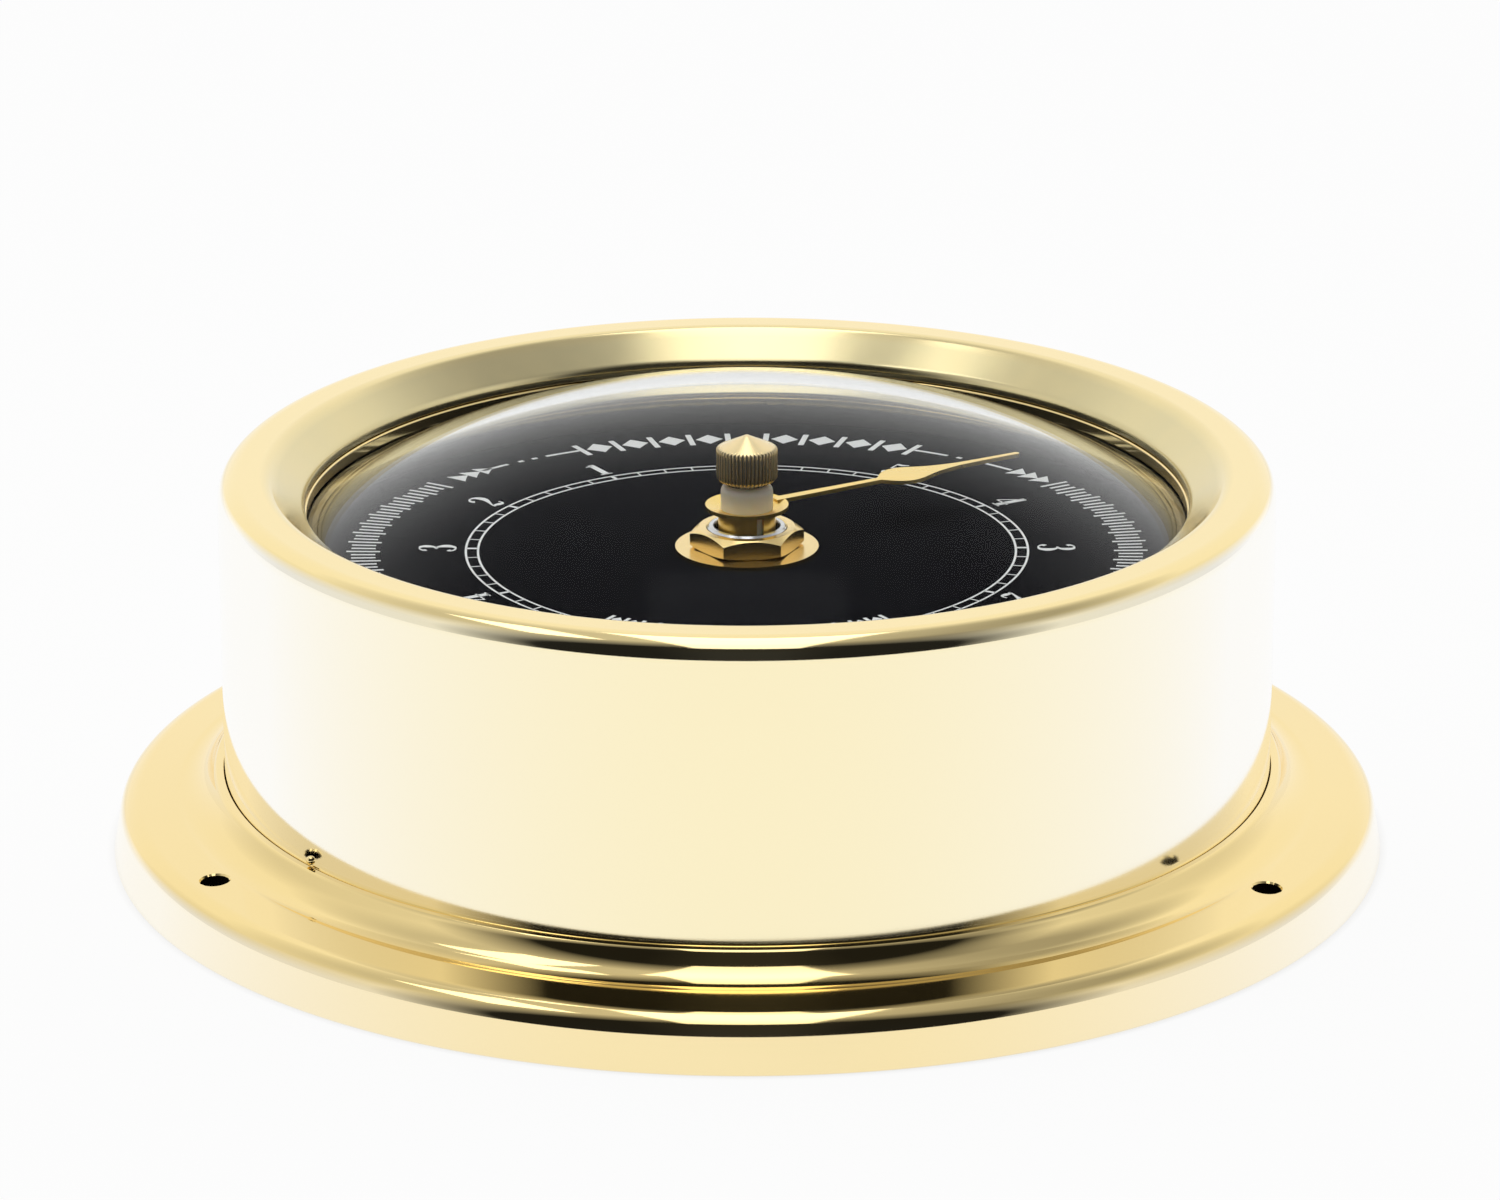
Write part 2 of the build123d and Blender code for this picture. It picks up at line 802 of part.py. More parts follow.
def make_movement_housing():
    """The movement's case, with the train's cavity and the battery bay open to the rear"""
    body = block(
        (-movement_half, movement_half),
        (movement_front, movement_rear),
        (movement_bottom, movement_top),
    )
    open_rear = movement_bottom - overrun
    body -= block((-cavity_half, cavity_half), (divider_top, cavity_rear), (open_rear, train_top))
    body -= block((-bay_half, bay_half), (bay_low, bay_high), (open_rear, bay_top))
    for place in boss_places:
        body += rod(boss_radius, train_plate_top, train_top, place)
        body += rod(boss_step_radius, cover_top, train_plate_top, place)
        body -= rod(
            cover_screw_radius + thread_gap, cover_top - overrun, cover_top + cover_screw_length, place
        )
    body -= rod(bush_radius + running_gap, train_top - overrun, movement_top + overrun)
    for place in (motion_place, setter_place):
        body -= rod(staff_radius + running_gap, train_top - overrun, train_top + pivot_depth, place)
    return body


def make_movement_cover():
    """The plate over the train, with bearings for the shafts and posts for what lies on it"""
    play = cover_fit
    sides = (-cavity_half + play, cavity_half - play)
    body = block(sides, (divider_top + play, cavity_rear - play), (movement_bottom, cover_top))
    for share in board_post_shares:
        body += rod(board_post_radius, cover_top, cover_top + board_rise, board_place(share))
    for place in stator_post_places():
        body += rod(stator_bar_width / 2, cover_top, cover_top + stator_rise, place)
    for place in boss_places:
        body -= rod(
            cover_screw_radius + thread_gap, movement_bottom - overrun, cover_top + overrun, place
        )
    body -= rod(arbor_pivot_radius + running_gap, movement_bottom - overrun, cover_top + overrun)
    body -= rod(
        setter_staff_radius + running_gap, movement_bottom - overrun, cover_top + overrun, setter_place
    )
    for place in (third_place, fourth_place, fifth_place, rotor_place):
        body -= rod(staff_radius + running_gap, cover_top - pivot_depth, cover_top + overrun, place)
    return body


def make_movement_cover_screws():
    """The small cheese-head screws that hold the cover"""
    low = movement_bottom - cover_screw_head
    slot = Box(2 * cover_screw_head_radius + overrun, screw_slot_width, 2 * screw_slot_depth)
    screws = []
    for place in boss_places:
        screw = rod(cover_screw_head_radius, low, movement_bottom, place)
        screw += rod(
            cover_screw_radius, movement_bottom, cover_top + cover_screw_length - thread_gap, place
        )
        screws.append(screw - Pos(place[0], place[1], low) * slot)
    return screws


def make_train_plate():
    """The plate between the going train and the motion work, seated on the bosses"""
    side = cavity_half - train_plate_margin
    low = divider_top + train_plate_margin
    high = cavity_rear - train_plate_margin
    body = block((-side, side), (low, high), (train_plate_bottom, train_plate_top))
    below = train_plate_bottom - overrun
    above = train_plate_top + overrun
    for place in boss_places:
        body -= rod(boss_step_radius + running_gap, below, above, place)
    body -= rod(arbor_pivot_radius + running_gap, below, above)
    body -= rod(setter_staff_radius + running_gap, below, above, setter_place)
    for place in (motion_place, third_place, fourth_place, fifth_place, rotor_place):
        body -= rod(staff_radius + running_gap, below, above, place)
    return body


def board_place(share):
    """A place on the circuit board, from shares of its length and width"""
    return (
        board_left + share[1] * (board_right - board_left),
        board_low + share[0] * (board_high - board_low),
    )


def board_bottom():
    """The height of the board's lower face"""
    return cover_top + board_rise


def make_circuit_board():
    """The circuit board, above the cover's posts"""
    low = board_bottom()
    return block((board_left, board_right), (board_low, board_high), (low, low + board_thickness))


def make_clock_chip():
    """The clock chip on the board"""
    x, y = board_place(chip_share)
    half = chip_size / 2
    low = board_bottom() + board_thickness
    return block((x - half, x + half), (y - half, y + half), (low, low + chip_thickness))


def make_quartz_crystal():
    """The crystal in its round can, lying on the board"""
    x, y = board_place(crystal_share)
    height = board_bottom() + board_thickness + crystal_radius
    can = Rot(0, 90, 0) * extrude(Circle(crystal_radius), crystal_length)
    return Pos(x - crystal_length / 2, y, height) * can


def stator_bottom():
    """The height of the core plate's lower face"""
    return cover_top + stator_rise


def stator_post_places():
    """The posts that carry the core plate, near its two ends"""
    inset = stator_bar_width / 2
    return (
        (stator_left + inset, stator_return_line),
        (rotor_place[0] + inset, coil_line),
    )


def make_stator_plate():
    """The soft iron core: a bar through the coil, a return bar and the head round the rotor"""
    half_bar = stator_bar_width / 2
    span = (stator_bottom(), stator_bottom() + stator_thickness)
    x, y = rotor_place
    head_x = (x - stator_head, stator_head_right)
    body = block(head_x, (y - stator_head, coil_line + half_bar), span)
    body += block((stator_left, x), (coil_line - half_bar, coil_line + half_bar), span)
    line = stator_return_line
    body += block((stator_left, x), (line - half_bar, line + half_bar), span)
    body += block(
        (stator_left, stator_left + stator_bar_width), (line - half_bar, coil_line + half_bar), span
    )
    hole = rod(stator_hole_radius, span[0] - overrun, span[1] + overrun, rotor_place)
    return body - hole


def make_coil():
    """The flat coil round the core's upper bar"""
    section = RectangleRounded(coil_height, coil_width, coil_rounding)
    core = Rectangle(stator_thickness + 2 * running_gap, stator_bar_width + 2 * running_gap)
    body = Rot(0, 90, 0) * extrude(section - core, coil_length)
    return Pos(coil_left, coil_line, stator_bottom() + stator_thickness / 2) * body


def battery_centre():
    """The middle line of the battery, in the middle of its bay"""
    return ((bay_low + bay_high) / 2, bay_top - seat_gap - battery_radius)


def battery_left():
    """Where the battery starts, one contact in from the bay's wall"""
    return bay_half - contact_thickness - battery_length


def make_battery_cell():
    """The battery with its nub"""
    y, z = battery_centre()
    can_length = battery_length - battery_nub
    can = extrude(Circle(battery_radius), can_length)
    can = fillet(can.edges(), battery_rounding)
    can += Pos(0, 0, can_length - battery_rounding) * extrude(
        Circle(battery_nub_radius), battery_nub + battery_rounding
    )
    return Pos(battery_left(), y, z) * Rot(0, 90, 0) * can


def contact_blade(x_span):
    """One flat contact across the end of the battery bay"""
    y, z = battery_centre()
    half = contact_width / 2
    tall = contact_height / 2
    return block(x_span, (y - half, y + half), (z - tall, z + tall))


def make_battery_contact_positive():
    """The flat contact at the battery's nub"""
    return contact_blade((bay_half - contact_thickness, bay_half))


def make_battery_contact_negative():
    """The contact at the battery's flat end, with its pressed bump"""
    y, z = battery_centre()
    blade = contact_blade((-bay_half, contact_thickness - bay_half))
    bump = turned(
        (
            (0, 0),
            (contact_bump_radius, 0),
            (contact_bump_tip_radius, contact_rise),
            (0, contact_rise),
        )
    )
    return blade + Pos(contact_thickness - bay_half, y, z) * Rot(0, 90, 0) * bump


def make_hour_pipe():
    """The white pipe that carries the hand, with the hour wheel at its foot"""
    pipe = turned(
        (
            (pipe_bore_radius, hour_wheel_bottom),
            (pipe_radius, hour_wheel_bottom),
            (pipe_radius, pipe_top),
            (pipe_bore_radius, pipe_top),
        ),
        {2: pipe_rounding},
    )
    wheel = toothed(hour_teeth, motion_module, hour_phase, hour_wheel_bottom, hour_wheel_top)
    wheel -= rod(pipe_bore_radius, hour_wheel_bottom - overrun, hour_wheel_top + overrun)
    return pipe + wheel


def hand_side(shares, sign):
    """Points along one side of the hand, from shares of its length and of the leaf's half width"""
    reach = hand_length - hand_root
    return [
        (hand_root + along * reach, sign * across * hand_leaf_width / 2) for along, across in shares
    ]


def hand_blade():
    """The arm, leaf and point of the hand, flat, along +X from the axis"""
    outline = []
    for sign in (1, -1):
        outline.append(Polyline(*hand_side(hand_arm_shares, sign)))
        outline.append(Spline(*hand_side(hand_leaf_shares, sign)))
        outline.append(Polyline(*hand_side(hand_point_shares, sign)))
    root_upper, root_lower = (hand_side(hand_arm_shares, sign)[0] for sign in (1, -1))
    tip_upper, tip_lower = (hand_side(hand_point_shares, sign)[-1] for sign in (1, -1))
    outline.append(ThreePointArc(tip_upper, (hand_length, 0), tip_lower))
    outline.append(Line(root_lower, root_upper))
    return make_face(Curve() + outline)


def make_tide_hand():
    """The hand: slotted collet, dished disc and flat blade"""
    bore = collet_bore_radius
    low = bush_top - bush_mouth_depth + seat_gap
    disc_foot = hand_bottom - hand_dish
    body = turned(
        (
            (bore, low),
            (collet_radius, low),
            (collet_radius, disc_foot),
            (hand_disc_radius, hand_bottom),
            (hand_disc_radius, hand_top),
            (collet_radius, hand_top - hand_dish),
            (bore, hand_top - hand_dish),
        )
    )
    slot_high = disc_foot
    slot = block(
        (0, collet_radius + overrun),
        (-collet_slot_width / 2, collet_slot_width / 2),
        (slot_high - collet_slot_depth, slot_high),
    )
    body -= Rot(0, 0, collet_slot_turn) * slot
    blade = Pos(0, 0, hand_bottom) * extrude(hand_blade(), hand_thickness)
    return body + Rot(0, 0, hand_turn) * blade


def make_minute_arbor():
    """The setting arbor, with the cannon pinion cut in its foot and a thin tail to the rear"""
    tail_low = movement_bottom + seat_gap
    arbor = turned(
        (
            (0, tail_low),
            (arbor_pivot_radius, tail_low),
            (arbor_pivot_radius, cannon_bottom),
            (arbor_pivot_radius, cannon_top),
            (arbor_radius, cannon_top),
            (arbor_radius, pipe_top + axial_gap),
            (arbor_tip_radius, pipe_top + axial_gap),
            (arbor_tip_radius, pipe_top + axial_gap + arbor_tip),
            (0, pipe_top + axial_gap + arbor_tip),
        )
    )
    return arbor + toothed(cannon_teeth, motion_module, cannon_phase, cannon_bottom, cannon_top)


def make_setting_knob():
    """The fluted knob with its flat cone and the collar below it"""
    high = knob_bottom + knob_height
    grip = fluted(knob_radius, flute_depth, flute_count, knob_bottom, high)
    grip &= turned(
        (
            (0, knob_bottom),
            (knob_radius - knob_chamfer, knob_bottom),
            (knob_radius, knob_bottom + knob_chamfer),
            (knob_radius, high - knob_chamfer),
            (knob_radius - knob_chamfer, high),
            (0, high),
        )
    )
    grip += turned(((0, high), (knob_cone_radius, high), (0, high + knob_cone)))
    collar_low = pipe_top + axial_gap
    grip += rod(knob_collar_radius, collar_low, knob_bottom)
    return grip - rod(
        knob_bore_radius, collar_low - overrun, collar_low + arbor_tip + press_gap
    )


def make_motion_wheel():
    """The motion wheel and its pinion on one staff"""
    x = motion_place
    body = toothed(
        motion_teeth, motion_module, motion_phase, motion_wheel_bottom, motion_wheel_top, x
    )
    body += toothed(
        motion_pinion_teeth, motion_module, motion_pinion_phase, motion_wheel_top, hour_wheel_top, x
    )
    low = train_plate_bottom + axial_gap
    return body + rod(staff_radius, low, train_top + pivot_depth - axial_gap, x)


def make_rear_setting_wheel():
    """The thumb wheel behind the movement, with a staff and pinion to the motion wheel"""
    high = movement_bottom - setter_wheel_gap
    low = high - setter_wheel_thickness
    at = setter_place
    body = fluted(setter_wheel_radius, setter_flute_depth, setter_flute_count, low, high, at)
    body += rod(setter_staff_radius, high, motion_wheel_bottom, at)
    body += toothed(
        setter_teeth, motion_module, setter_phase, motion_wheel_bottom, motion_wheel_top, at
    )
    return body + rod(staff_radius, motion_wheel_top, train_top + pivot_depth - axial_gap, at)


def make_centre_wheel():
    """The centre wheel, which turns freely round the arbor's tail"""
    low = centre_wheel_top - wheel_thickness
    body = toothed(centre_teeth, going_module, centre_phase, low, centre_wheel_top)
    body += rod(hub_radius, low - centre_wheel_drop, train_plate_bottom - axial_gap)
    bore = arbor_pivot_radius + running_gap
    return body - rod(bore, low - overrun, train_plate_bottom)


def going_arbor(pinion_teeth, pinion_phase, teeth, phase, step, place):
    """A staff with a pinion in its upper wheel's plane and a wheel one step below"""
    upper_middle = centre_wheel_top - wheel_thickness / 2 - step * wheel_step
    lower_middle = upper_middle - wheel_step
    half_pinion = pinion_thickness / 2
    half_wheel = wheel_thickness / 2
    body = toothed(
        pinion_teeth,
        going_module,
        pinion_phase,
        upper_middle - half_pinion,
        upper_middle + half_pinion,
        place,
    )
    body += toothed(
        teeth, going_module, phase, lower_middle - half_wheel, lower_middle + half_wheel, place
    )
    low = cover_top - pivot_depth + axial_gap
    body += rod(staff_radius, low, train_plate_top - axial_gap, place)
    return body


def make_third_wheel():
    """The third wheel and its pinion"""
    return going_arbor(
        third_pinion_teeth, third_pinion_phase, third_teeth, third_phase, 0, third_place
    )


def make_fourth_wheel():
    """The fourth wheel and its pinion"""
    return going_arbor(
        fourth_pinion_teeth, fourth_pinion_phase, fourth_teeth, fourth_phase, 1, fourth_place
    )


def make_fifth_wheel():
    """The fifth wheel and its pinion"""
    return going_arbor(
        fifth_pinion_teeth, fifth_pinion_phase, fifth_teeth, fifth_phase, 2, fifth_place
    )


def magnet_span():
    """The heights of the rotor's magnet, level with the core plate"""
    low = stator_bottom() - magnet_drop
    return (low, low + magnet_thickness)


def make_rotor_pinion():
    """The rotor's staff and pinion"""
    pinion_middle = centre_wheel_top - wheel_thickness / 2 - 3 * wheel_step
    low = pinion_middle - pinion_thickness / 2
    body = toothed(
        rotor_teeth, going_module, rotor_phase, low, low + pinion_thickness, rotor_place
    )
    staff_low = cover_top - pivot_depth + axial_gap
    return body + rod(staff_radius, staff_low, train_plate_top - axial_gap, rotor_place)


def make_rotor_magnet():
    """The rotor's round magnet"""
    low, high = magnet_span()
    return tube(magnet_radius, staff_radius + press_gap, low, high, rotor_place)


NODES = {
    "flange_base": make_flange_base,
    "back_plate": make_back_plate,
    "back_plate_screws": make_back_plate_screws,
    "dial_pillars": make_pillars,
    "pillar_screws_rear": make_pillar_screws_rear,
    "pillar_screws_front": make_pillar_screws_front,
    "case_seal": make_case_seal,
    "case_drum": make_case_drum,
    "case_index_pin": make_case_index_pin,
    "glass_ring": make_glass_ring,
    "domed_glass": make_domed_glass,
    "glass_gasket": make_glass_gasket,
    "rehaut_ring": make_rehaut_ring,
    "snap_ring": make_snap_ring,
    "dial_carrier": make_dial_carrier,
    "dial_plate": make_dial_plate,
    "movement_cushion": make_movement_cushion,
    "threaded_bush": make_threaded_bush,
    "hub_washer": make_hub_washer,
    "hub_nut": make_hub_nut,
    "movement_housing": make_movement_housing,
    "movement_cover": make_movement_cover,
    "movement_cover_screws": make_movement_cover_screws,
    "train_plate": make_train_plate,
    "circuit_board": make_circuit_board,
    "clock_chip": make_clock_chip,
    "quartz_crystal": make_quartz_crystal,
    "stator_plate": make_stator_plate,
    "coil": make_coil,
    "battery_cell": make_battery_cell,
    "battery_contact_positive": make_battery_contact_positive,
    "battery_contact_negative": make_battery_contact_negative,
    "hour_pipe": make_hour_pipe,
    "tide_hand": make_tide_hand,
    "minute_arbor": make_minute_arbor,
    "setting_knob": make_setting_knob,
    "motion_wheel": make_motion_wheel,
    "rear_setting_wheel": make_rear_setting_wheel,
    "centre_wheel": make_centre_wheel,
    "third_wheel": make_third_wheel,
    "fourth_wheel": make_fourth_wheel,
    "fifth_wheel": make_fifth_wheel,
    "rotor_pinion": make_rotor_pinion,
    "rotor_magnet": make_rotor_magnet,
}

os.makedirs("parts", exist_ok=True)
for node, make in NODES.items():
    made = make()
    shape = Compound(children=made) if isinstance(made, list) else made
    export_step(shape, f"parts/{node}.step")
    print(node, round(shape.volume, 1))
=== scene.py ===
"""A round brass tide clock: flanged base, push-fit drum, sunk domed glass, black dial and one hand.

The clock lies on its back on a pale table. The frame gives what the CAD holds, in metres. The sizes
written here are in millimetres, and MM turns them into metres.
"""

import json
import logging
from collections.abc import Sequence
from dataclasses import dataclass
from enum import Enum
from math import cos, pi, radians, sin

import bmesh
import bpy
import numpy as np
from mathutils import Matrix, Vector

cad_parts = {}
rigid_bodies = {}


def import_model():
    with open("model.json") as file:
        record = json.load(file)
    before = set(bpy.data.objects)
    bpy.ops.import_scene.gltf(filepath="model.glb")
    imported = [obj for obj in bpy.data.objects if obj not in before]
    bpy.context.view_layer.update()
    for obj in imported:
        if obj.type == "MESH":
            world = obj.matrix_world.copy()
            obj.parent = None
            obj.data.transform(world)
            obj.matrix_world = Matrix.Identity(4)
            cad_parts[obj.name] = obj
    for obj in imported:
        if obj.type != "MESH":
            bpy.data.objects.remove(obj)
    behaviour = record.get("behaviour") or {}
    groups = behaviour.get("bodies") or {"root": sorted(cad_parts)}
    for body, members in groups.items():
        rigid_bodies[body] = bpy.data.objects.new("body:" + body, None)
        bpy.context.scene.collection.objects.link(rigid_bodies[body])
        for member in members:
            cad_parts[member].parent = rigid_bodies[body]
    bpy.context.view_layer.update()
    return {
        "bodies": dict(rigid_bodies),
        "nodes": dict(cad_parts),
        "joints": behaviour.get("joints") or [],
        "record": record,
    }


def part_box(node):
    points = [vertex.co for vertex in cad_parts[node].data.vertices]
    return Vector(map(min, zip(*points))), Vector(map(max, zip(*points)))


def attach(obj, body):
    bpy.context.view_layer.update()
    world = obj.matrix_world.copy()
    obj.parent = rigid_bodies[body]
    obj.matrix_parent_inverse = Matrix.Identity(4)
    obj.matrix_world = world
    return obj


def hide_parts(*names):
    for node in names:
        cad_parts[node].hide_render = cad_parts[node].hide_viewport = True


LOG = logging.getLogger("tide_clock")
MM = 0.001
FULL_TURN = 2 * pi
# Edges rounded by less than this, in millimetres, turn in three times larger steps.
FINE_EDGE = 0.5

Array = np.ndarray
Colour = tuple[float, float, float]
Corner = tuple[float, float, float]
Socket = bpy.types.NodeSocket


# Surfaces: shapes as whole arrays of points


@dataclass
class Surface:
    """Points in millimetres and the faces between them, as arrays of three or four indices."""

    points: Array
    faces: list[Array]

    def joined(self, other: "Surface") -> "Surface":
        """Puts two surfaces into one.

        Args:
            other: the surface to add.

        Returns:
            A surface with the points and faces of both.
        """
        moved = [part + len(self.points) for part in other.faces]
        return Surface(np.vstack([self.points, other.points]), self.faces + moved)


def rounded_outline(corners: Sequence[Corner], step: float = 6.0, support: float = 0.12) -> Array:
    """Rounds the corners of a closed outline.

    Each corner is (x, y, rounding). A rounded corner becomes an arc that touches both its sides. A
    point stands a short way along each side, so that a flat beside an arc shades as flat.

    Args:
        corners: the corners in order.
        step: the largest turn in degrees between two points of an arc, before FINE_EDGE is applied.
        support: how far along a side the extra point stands, in millimetres.

    Returns:
        The outline's points, one row each.
    """
    points: list[Array] = []
    count = len(corners)
    for index, (x, y, rounding) in enumerate(corners):
        here = np.array((x, y))
        if rounding == 0:
            points.append(here[None])
            continue
        back = np.array(corners[index - 1][:2]) - here
        ahead = np.array(corners[(index + 1) % count][:2]) - here
        back_length, ahead_length = np.linalg.norm(back), np.linalg.norm(ahead)
        back, ahead = back / back_length, ahead / ahead_length
        half = np.arccos(np.clip(back @ ahead, -1, 1)) / 2
        reach = rounding / np.tan(half)
        middle = here + (back + ahead) / np.linalg.norm(back + ahead) * rounding / np.sin(half)
        start, end = here + back * reach - middle, here + ahead * reach - middle
        sweep = pi - 2 * half
        largest = step if rounding > FINE_EDGE else 3 * step
        steps = max(2, int(np.ceil(np.degrees(sweep) / largest)))
        share = np.linspace(0, 1, steps + 1)[:, None]
        arc = (np.sin((1 - share) * sweep) * start + np.sin(share * sweep) * end) / np.sin(sweep)
        if back_length - reach > 3 * support:
            points.append((here + back * (reach + support))[None])
        points.append(middle + arc)
        if ahead_length - reach > 3 * support:
            points.append((here + ahead * (reach + support))[None])
    return np.vstack(points)


def ring_faces(rows: int, columns: int, close_rows: bool, close_columns: bool) -> Array:
    """Numbers the four corners of each cell of a grid of points.

    Args:
        rows: points along the first direction.
        columns: points along the second, which runs fastest.
        close_rows: whether the last row joins the first.
        close_columns: whether the last column joins the first.

    Returns:
        One row of four indices for each cell.
    """
    row, column = np.meshgrid(
        np.arange(rows if close_rows else rows - 1),
        np.arange(columns if close_columns else columns - 1),
        indexing="ij",
    )
    next_row, next_column = (row + 1) % rows, (column + 1) % columns
    cells = (
        row * columns + column,
        next_row * columns + column,
        next_row * columns + next_column,
        row * columns + next_column,
    )
    return np.stack(cells, axis=-1).reshape(-1, 4)


def lathe(outline: Array, segments: int, phase: float = 0.0) -> Surface:
    """Turns a closed outline about Z.

    A point (r, z) of the outline goes to (r cos a, r sin a, z) for evenly spaced turns a.

    Args:
        outline: points (radius, height), all off the axis.
        segments: how many turns.
        phase: the azimuth of the first, in degrees.

    Returns:
        The closed ring-shaped surface.
    """
    turn = radians(phase) + np.arange(segments)[:, None] * FULL_TURN / segments
    radius, height = outline[:, 0], outline[:, 1]
    height = np.broadcast_to(height, (segments, len(radius)))
    points = np.stack([radius * np.cos(turn), radius * np.sin(turn), height], axis=-1)
    return Surface(points.reshape(-1, 3), [ring_faces(segments, len(outline), True, True)])


def lathe_to_axis(outline: Array, segments: int) -> Surface:
    """Turns an open outline that starts and ends on the axis.

    The rows between are turned as lathe does, and a fan of triangles closes each end at a single
    point on the axis.

    Args:
        outline: points (radius, height), the first and last with radius 0.
        segments: how many turns.

    Returns:
        The closed surface.
    """
    inner = outline[1:-1]
    body = lathe(inner, segments)
    width = len(inner)
    cells = body.faces[0].reshape(segments, width, 4)[:, :-1].reshape(-1, 4)
    first, last = segments * width, segments * width + 1
    near = np.arange(segments) * width
    after = np.roll(near, -1)
    start_fan = np.stack([np.full(segments, first), near, after], axis=-1)
    end_fan = np.stack([np.full(segments, last), after + width - 1, near + width - 1], axis=-1)
    poles = np.array([(0, 0, outline[0, 1]), (0, 0, outline[-1, 1])])
    return Surface(np.vstack([body.points, poles]), [cells, start_fan, end_fan])


def smooth_line(keys: Array, samples: int) -> Array:
    """Draws a smooth line through key points.

    Between two keys the line is the cubic whose slope at each key is half the step between its
    neighbours.

    Args:
        keys: the key points, one row each, of any width.
        samples: how many points to give.

    Returns:
        The points of the line.
    """
    padded = np.vstack([2 * keys[0] - keys[1], keys, 2 * keys[-1] - keys[-2]])
    place = np.linspace(0, len(keys) - 1, samples)
    index = np.minimum(place.astype(int), len(keys) - 2)
    t = (place - index)[:, None]
    before, here, ahead, beyond = (padded[index + shift] for shift in range(4))
    return 0.5 * (
        2 * here
        + (ahead - before) * t
        + (2 * before - 5 * here + 4 * ahead - beyond) * t**2
        + (3 * here - before - 3 * ahead + beyond) * t**3
    )


def ribbon(line: Array, half_width: Array) -> Array:
    """Gives a flat line a width.

    Each point is moved by the half width along the line's left and right normals.

    Args:
        line: points (x, y).
        half_width: one value for each point.

    Returns:
        A closed outline, the left side forward and the right side back.
    """
    along = np.gradient(line, axis=0)
    along /= np.linalg.norm(along, axis=1, keepdims=True)
    across = np.stack([-along[:, 1], along[:, 0]], axis=-1) * half_width[:, None]
    return np.vstack([line + across, (line - across)[::-1]])


def thin_strip(outline: Array, low: float, high: float) -> Surface:
    """Makes a flat, closed slab of a ribbon's outline.

    The outline's first half runs forward and its second half back, so that cells between the two
    halves fill it; the same cells at two heights and a wall between them close it.

    Args:
        outline: points (x, y) as ribbon gives them.
        low: the lower height.
        high: the upper height.

    Returns:
        The slab.
    """
    count = len(outline)
    half = count // 2
    low_points = np.column_stack([outline, np.full(count, low)])
    high_points = np.column_stack([outline, np.full(count, high)])
    index = np.arange(half - 1)
    cells = np.stack([index, index + 1, count - 2 - index, count - 1 - index], axis=-1)
    edge = np.arange(count)
    after = np.roll(edge, -1)
    wall = np.stack([edge, after, after + count, edge + count], axis=-1)
    return Surface(np.vstack([low_points, high_points]), [cells[:, ::-1], cells + count, wall])


def placed(surface: Surface, turn: float, radius: float) -> Surface:
    """Turns a flat figure so that its top points outwards, and moves it out along a radius.

    Args:
        surface: the figure, its middle at the origin and its top along +Y.
        turn: the azimuth in degrees at which it stands.
        radius: its distance from the axis.

    Returns:
        The moved figure.
    """
    angle = radians(turn)
    right = np.array((sin(angle), -cos(angle)))
    up = np.array((cos(angle), sin(angle)))
    flat = surface.points[:, :1] * right + (surface.points[:, 1:2] + radius) * up
    return Surface(np.column_stack([flat, surface.points[:, 2]]), surface.faces)


def all_joined(parts: Sequence[Surface]) -> Surface:
    """Puts several surfaces into one.

    Args:
        parts: the surfaces.

    Returns:
        A surface with the points and faces of all.
    """
    whole = parts[0]
    for part in parts[1:]:
        whole = whole.joined(part)
    return whole


def add_object(name: str, data: bpy.types.ID) -> bpy.types.Object:
    """Puts a mesh, a lamp or a camera into the scene.

    Args:
        name: the object's name.
        data: what it holds.

    Returns:
        The object.
    """
    thing = bpy.data.objects.new(name, data)
    bpy.context.scene.collection.objects.link(thing)
    return thing


def add_piece(
    name: str,
    surface: Surface,
    material: bpy.types.Material,
    body: str,
    replaces: Sequence[str] = (),
    sharp: float = 35.0,
) -> bpy.types.Object:
    """Makes a mesh object of a surface and tells the frame what it rides on.

    Args:
        name: the piece's name.
        surface: its points, in millimetres, and faces.
        material: its finish.
        body: the CAD body that it moves with.
        replaces: the CAD nodes that it stands for.
        sharp: edges that turn by more than this, in degrees, are drawn sharp.

    Returns:
        The object.
    """
    mesh = bpy.data.meshes.new(name)
    faces = [row for part in surface.faces for row in part.tolist()]
    mesh.from_pydata((surface.points * MM).tolist(), [], faces)
    shell = bmesh.new()
    shell.from_mesh(mesh)
    bmesh.ops.recalc_face_normals(shell, faces=shell.faces)
    shell.to_mesh(mesh)
    shell.free()
    mesh.polygons.foreach_set("use_smooth", np.ones(len(mesh.polygons), dtype=bool))
    mesh.set_sharp_from_angle(angle=radians(sharp))
    mesh.materials.append(material)
    piece = add_object(name, mesh)
    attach(piece, body)
    if replaces:
        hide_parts(*replaces)
    LOG.info("%s: %d points, rides on %s", name, len(mesh.vertices), body)
    return piece


def set_shade(piece: bpy.types.Object, domain: str, shade: Array) -> None:
    """Writes the attribute of painted shade that darkens a turned metal in its hollows.

    Args:
        piece: the piece.
        domain: POINT or FACE.
        shade: a value from 0 to 1 for each point or face.
    """
    layer = piece.data.attributes.new("painted_shade_area", "FLOAT", domain)
    layer.data.foreach_set("value", shade.astype(np.float32))


# Shader building

# Where the wiping marks and the grain's patches begin and end in their noise
HAZE_RANGE = (0.35, 0.7)
PATCH_RANGE = (0.3, 0.7)
# How fine the grain's patches are, for each metre
PATCH_SCALE = 60.0
# How much the turning lines change along the turn, for each radian
TURN_PACE = 1.5
# The depth of turning lines and grain, in millimetres
LINE_DEPTH = 0.02


